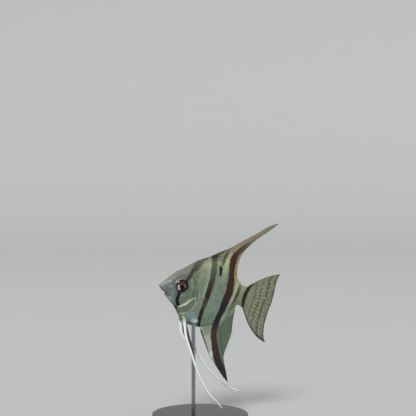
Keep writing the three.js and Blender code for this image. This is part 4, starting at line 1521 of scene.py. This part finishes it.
def addFinWeb(name, point, place, sway, spec, look, nodes):
    # the membrane, a thin closed sheet, a little short of the ray tips
    total = spec["spines"] + spec["rays"]
    columns, rows = total * spec["perRay"] + 1, spec["rows"]
    t, s = np.meshgrid(np.linspace(0, 1, columns), np.linspace(0, 1, rows), indexing="ij")
    notch = spec["notch"] * np.where(t * total < spec["spines"], 1.0, spec["softNotch"])
    between = np.sin(math.pi * (t * total - 0.5))**2
    s = s * (spec["reach"] - notch * between * ease(0, spec["notchFull"], s))
    middle = point(t, s)
    thick = spec["thick"] * (2 - s) + spec["footThick"] * np.exp(-s / spec["footReach"])
    sheets = [place(middle, sway(t, s) + thick * hand) for hand in (1, -1)]
    count = columns * rows
    faces = gridFaces(columns, rows)
    faces += [[i + count for i in face[::-1]] for face in faces]
    corners = [(0, rows, 1), (count - rows, 1, rows), (count - 1, -rows, 1), (rows - 1, -1, rows)]
    for start, step, steps in corners:
        for i in range((columns if steps == 1 else rows) - 1):
            j = start + i * step
            faces.append([j, j + step, j + step + count, j + count][::-1])
    if spec.get("turned"):
        faces = [face[::-1] for face in faces]
    web = addMesh(name + "Web", np.concatenate([sheet.reshape(-1, 3) for sheet in sheets]), faces)
    setValues(web, "share", "FLOAT", np.tile(s.ravel(), 2))
    setValues(web, "fan", "FLOAT", np.tile((t * total).ravel(), 2))
    return finishPiece(web, look, nodes)


def addFinRays(name, point, place, sway, spec, look):
    # spines are plain, soft rays fork
    total = spec["spines"] + spec["rays"]
    vertices, edges, widths, shares, fans = [], [], [], [], []

    def addLine(kind, start, end, middle, width, splay=0.0):
        stations, thick, lost = spec[kind]
        s = np.linspace(start, end, stations)
        t = middle + splay / total * ease(start, 1.0, s)
        past = (s - start) / ((1 if start else end) - start)    # a branch tapers towards the margin
        edges.extend((len(vertices) + i, len(vertices) + i + 1) for i in range(len(s) - 1))
        vertices.extend(place(point(t, s), sway(t, s)))
        widths.extend(width * (thick - lost * past) / 1000)
        shares.extend(s)
        fans.extend(t * total)

    for k in range(total):
        middle = (k + 0.5) / total
        if k < spec["spines"]:
            addLine("spine", 0, 1, middle, spec["spineWidth"])
            continue
        addLine("stem", 0, spec["fork"], middle, spec["rayWidth"])
        for way in (-1, 1):
            addLine("branch", spec["fork"], spec["reach"], middle, spec["rayWidth"], way * spec["splay"])
    mesh = bpy.data.meshes.new(name + "Rays")
    mesh.from_pydata([tuple(v) for v in toWorld(np.array(vertices))], edges, [])
    rays = bpy.data.objects.new(name + "Rays", mesh)
    bpy.context.scene.collection.objects.link(rays)
    for label, values in (("rayWidth", widths), ("share", shares), ("fan", fans)):
        setValues(rays, label, "FLOAT", values)
    grow(rays, finRayTree, finRayKeys, {"Sides": spec["sides"], "Material": look}, drop=("rayWidth",))
    return finishPiece(rays, look)


def addFin(name, point, place, spec, look, nodes=()):
    spec = {**finDefaults, **spec}

    def sway(t, s):
        across, outward = spec["waves"]
        return spec["ripple"] * s * np.sin(t * across + outward * s)

    web = addFinWeb(name, point, place, sway, spec, looks[look + "Web"], nodes)
    rays = addFinRays(name, point, place, sway, spec, looks[look + "Ray"])
    print(name, len(web.data.polygons), len(rays.data.polygons), "faces")


def pectoralPlace(hand):
    spec = finShapes["pectoral"]
    droop, spread = math.radians(spec["droop"]), math.radians(spec["spread"])
    along, side, up = spec["root"]

    def place(points, offset):
        x, z = points[..., 0], points[..., 1]
        out = x * math.cos(droop) + z * math.sin(droop)
        rise = z * math.cos(droop) - x * math.sin(droop)
        outSide = out * math.sin(spread) + offset * math.cos(spread)
        return np.stack([along + out * math.cos(spread) - offset * math.sin(spread),
                         hand * (side + outSide), up + rise], axis=-1)

    return place


def pectoralPoint():
    spec = finShapes["pectoral"]
    upper, lower = finOutlines["pectoralUpper"], finOutlines["pectoralLower"]
    first = onLine(upper, np.linspace(*spec["firstRay"], spec["raySteps"]))
    last = onLine(lower[::-1], np.linspace(*spec["lastRay"], spec["raySteps"]))
    above, below = spec["marginSteps"]
    margin = np.concatenate([onLine(upper, np.linspace(spec["firstRay"][1], 1, above)),
                             onLine(lower, np.linspace(0, 1 - spec["lastRay"][1], below))[1:]])
    return fanPoint(np.linspace(first[0], last[0], spec["footSteps"]), first, last, margin)


for finName in ("dorsal", "anal"):
    addFin(finName, medianFinPoint(finShapes[finName]), inMiddle, finShapes[finName], finName,
           (finName + "_fin",))
addFin("tail", fanPoint(np.array(finShapes["tail"]["foot"]), finOutlines["tailTop"],
                        finOutlines["tailBottom"][::-1], finOutlines["tailRear"]),
       inMiddle, finShapes["tail"], "tail", ("tail_fin",))
for side, hand in sides:
    addFin(f"pectoral{side}", pectoralPoint(), pectoralPlace(hand),
           {**finShapes["pectoral"], "turned": hand > 0}, "pectoral", (f"pectoral_fin_{side.lower()}",))

feelerShape = {
    "Left": [(20.6, 1.6, -13.6), (22, 2.5, -16.6), (25.7, 3, -25.7), (31.6, 3.6, -34.4),
             (39.7, 4.4, -45.8), (49.4, 5.2, -55.7), (55.4, 5.6, -59.4), (61.4, 6, -63.2)],
    "Right": [(20.2, 1.6, -13.8), (21.6, 2.5, -16.8), (25.4, 3, -25), (31.3, 3.4, -29.8),
              (39.5, 4, -34.4), (52.9, 4.8, -43.8), (66.1, 5.6, -49.7), (75.7, 6.2, -51.3)],
    "ray": (1.08, 0.42), "thin": (0.7, 0.38),     # half-widths at root and tip, fore and aft and across
    "taper": {"Left": 0.5, "Right": 0.8},
    "groove": 0.1, "grooveWidth": 0.3,
    "perSpan": 24, "stations": 120, "sides": 20,
    "web": (0.05, 0.42), "webWidth": 1.9, "webFoot": 0.4, "webRound": 0.7,   # "web": from and to
}
feelerWeb = {"rays": 4, "rayWidth": 0.16, "notch": 0.0, "fork": 0.6, "rows": 24, "ripple": 0.1,
             "thick": 0.09, "footThick": 0.0, "turned": True}


def feelerLine(side, hand):
    # the middle of a feeler and the direction behind it, at even shares of its length
    line = alongPoints(feelerShape[side], feelerShape["perSpan"]) * np.array([1, hand, 1])
    shares = np.linspace(0, 1, feelerShape["stations"])
    middle = onLine(line, shares)
    rearward = -unit(np.cross(np.array([0.0, 1.0, 0.0]), unit(np.gradient(middle, axis=0))))
    return shares, middle, rearward


def addFeeler(side, hand):
    shares, middle, rearward = feelerLine(side, hand)
    angles = anglesRound(feelerShape["sides"])
    (ray, rayTip), (thin, thinTip) = feelerShape["ray"], feelerShape["thin"]
    ray = ray + (rayTip - ray) * shares**feelerShape["taper"][side]
    thin = thin + (thinTip - thin) * shares
    fromGroove = np.mod(angles, math.pi) - math.pi / 2
    groove = 1 - feelerShape["groove"] * hump(fromGroove, feelerShape["grooveWidth"])
    inPlane = ray[:, None] * np.cos(angles)
    across = thin[:, None] * np.sin(angles) * groove
    points = (middle[:, None, :] + rearward[:, None, :] * inPlane[..., None]
              + np.array([0, 1, 0]) * across[..., None])
    feeler = addTube(f"feeler{side}", points, middle[[0, -1]])
    setValues(feeler, "share", "FLOAT", np.concatenate([np.repeat(shares, len(angles)), [0, 1]]))
    finishPiece(feeler, looks["feeler"], (f"pelvic_fin_{side.lower()}",))

    def webPoint(t, s):
        # t runs down the feeler, s out behind it
        start, end = feelerShape["web"]
        down = start + t * (end - start)
        back = np.stack([np.interp(down, shares, rearward[:, k]) for k in range(3)], axis=-1)
        bulge = np.sin(math.pi * np.clip(t, 0, 1))**feelerShape["webRound"]
        width = feelerShape["webFoot"] + feelerShape["webWidth"] * bulge
        return onLine(middle, down) + back * (width * s)[..., None]

    def beside(points, offset):
        return points + np.stack([0 * offset, offset, 0 * offset], axis=-1)

    addFin(f"feelerWeb{side}", webPoint, beside, feelerWeb, "feeler")


for side, hand in sides:
    addFeeler(side, hand)

standShape = {"radius": 30.0, "height": 5.0, "round": 0.8, "foot": 0.3, "around": 160, "roundSteps": 9,
              "under": 0.5, "topRings": (0.85, 0.5, 0.2),     # rings on its faces, as shares of the radius
              "rodAlong": -4.6, "rodRadius": 1.2, "rodFoot": 2.5, "rodTop": 62.4, "rodAround": 40,
              "rodRing": 0.5, "rodSharp": 40.0}
# dark and light tint, metal, roughness, stretch of the grain
standFinishes = {
    "blackAcrylic": (tint(20, 21, 22), tint(26, 27, 28), 0.0, 0.24, (1, 1, 1)),
    "brushedSteel": (tint(150, 152, 154), tint(186, 188, 190), 1.0, 0.3, (1, 1, 0.04)),
}
grain = {"noise": (260.0, 2.0), "range": (0.3, 0.7), "rough": 0.02, "bump": 0.04, "bumpDepth": 0.00002}


def lathe(name, profile, around, centre):
    ends = np.array([(centre, 0, profile[0][1]), (centre, 0, profile[-1][1])])
    return addTube(name, spun(profile, around, centre) / 1000, ends / 1000, world=False)


def standMaterial(name):
    dark, light, metallic, roughness, stretch = standFinishes[name]
    material, board, shader = newMaterial(name)
    coordinate = board.add("ShaderNodeTexCoord")
    mapping = board.add("ShaderNodeMapping", {"Vector": coordinate.outputs["Object"]})
    mapping.inputs["Scale"].default_value = stretch
    fine = board.noise(mapping.outputs["Vector"], *grain["noise"])
    rough = board.ramp(fine, *grain["range"], roughness - grain["rough"], roughness + grain["rough"])
    colour = board.mix(board.ramp(fine, *grain["range"]), dark, light)
    shade(board, shader, {"Base Color": colour, "Roughness": rough, "Metallic": metallic}, grain, fine)
    return material


def addStand():
    radius, height, rounding, foot = (standShape[key] for key in ("radius", "height", "round", "foot"))
    profile = [(radius * standShape["under"], 0.0), (radius - foot, 0.0), (radius, foot)]
    for angle in np.linspace(0, math.pi / 2, standShape["roundSteps"]):
        profile.append((radius - rounding + rounding * math.cos(angle),
                        height - rounding + rounding * math.sin(angle)))
    profile += [(radius * share, height) for share in standShape["topRings"]]
    disc = lathe("standBase", profile, standShape["around"], 0.0)
    finishPiece(disc, standMaterial("blackAcrylic"), ("stand_base",))
    r, low, high, ring = (standShape[key] for key in ("rodRadius", "rodFoot", "rodTop", "rodRing"))
    rod = lathe("standRod", [(r * ring, low), (r, low), (r, high), (r * ring, high)],
                standShape["rodAround"], standShape["rodAlong"])
    rod.data.set_sharp_from_angle(angle=math.radians(standShape["rodSharp"]))
    finishPiece(rod, standMaterial("brushedSteel"), ("stand_rod",))


addStand()
print("stand")
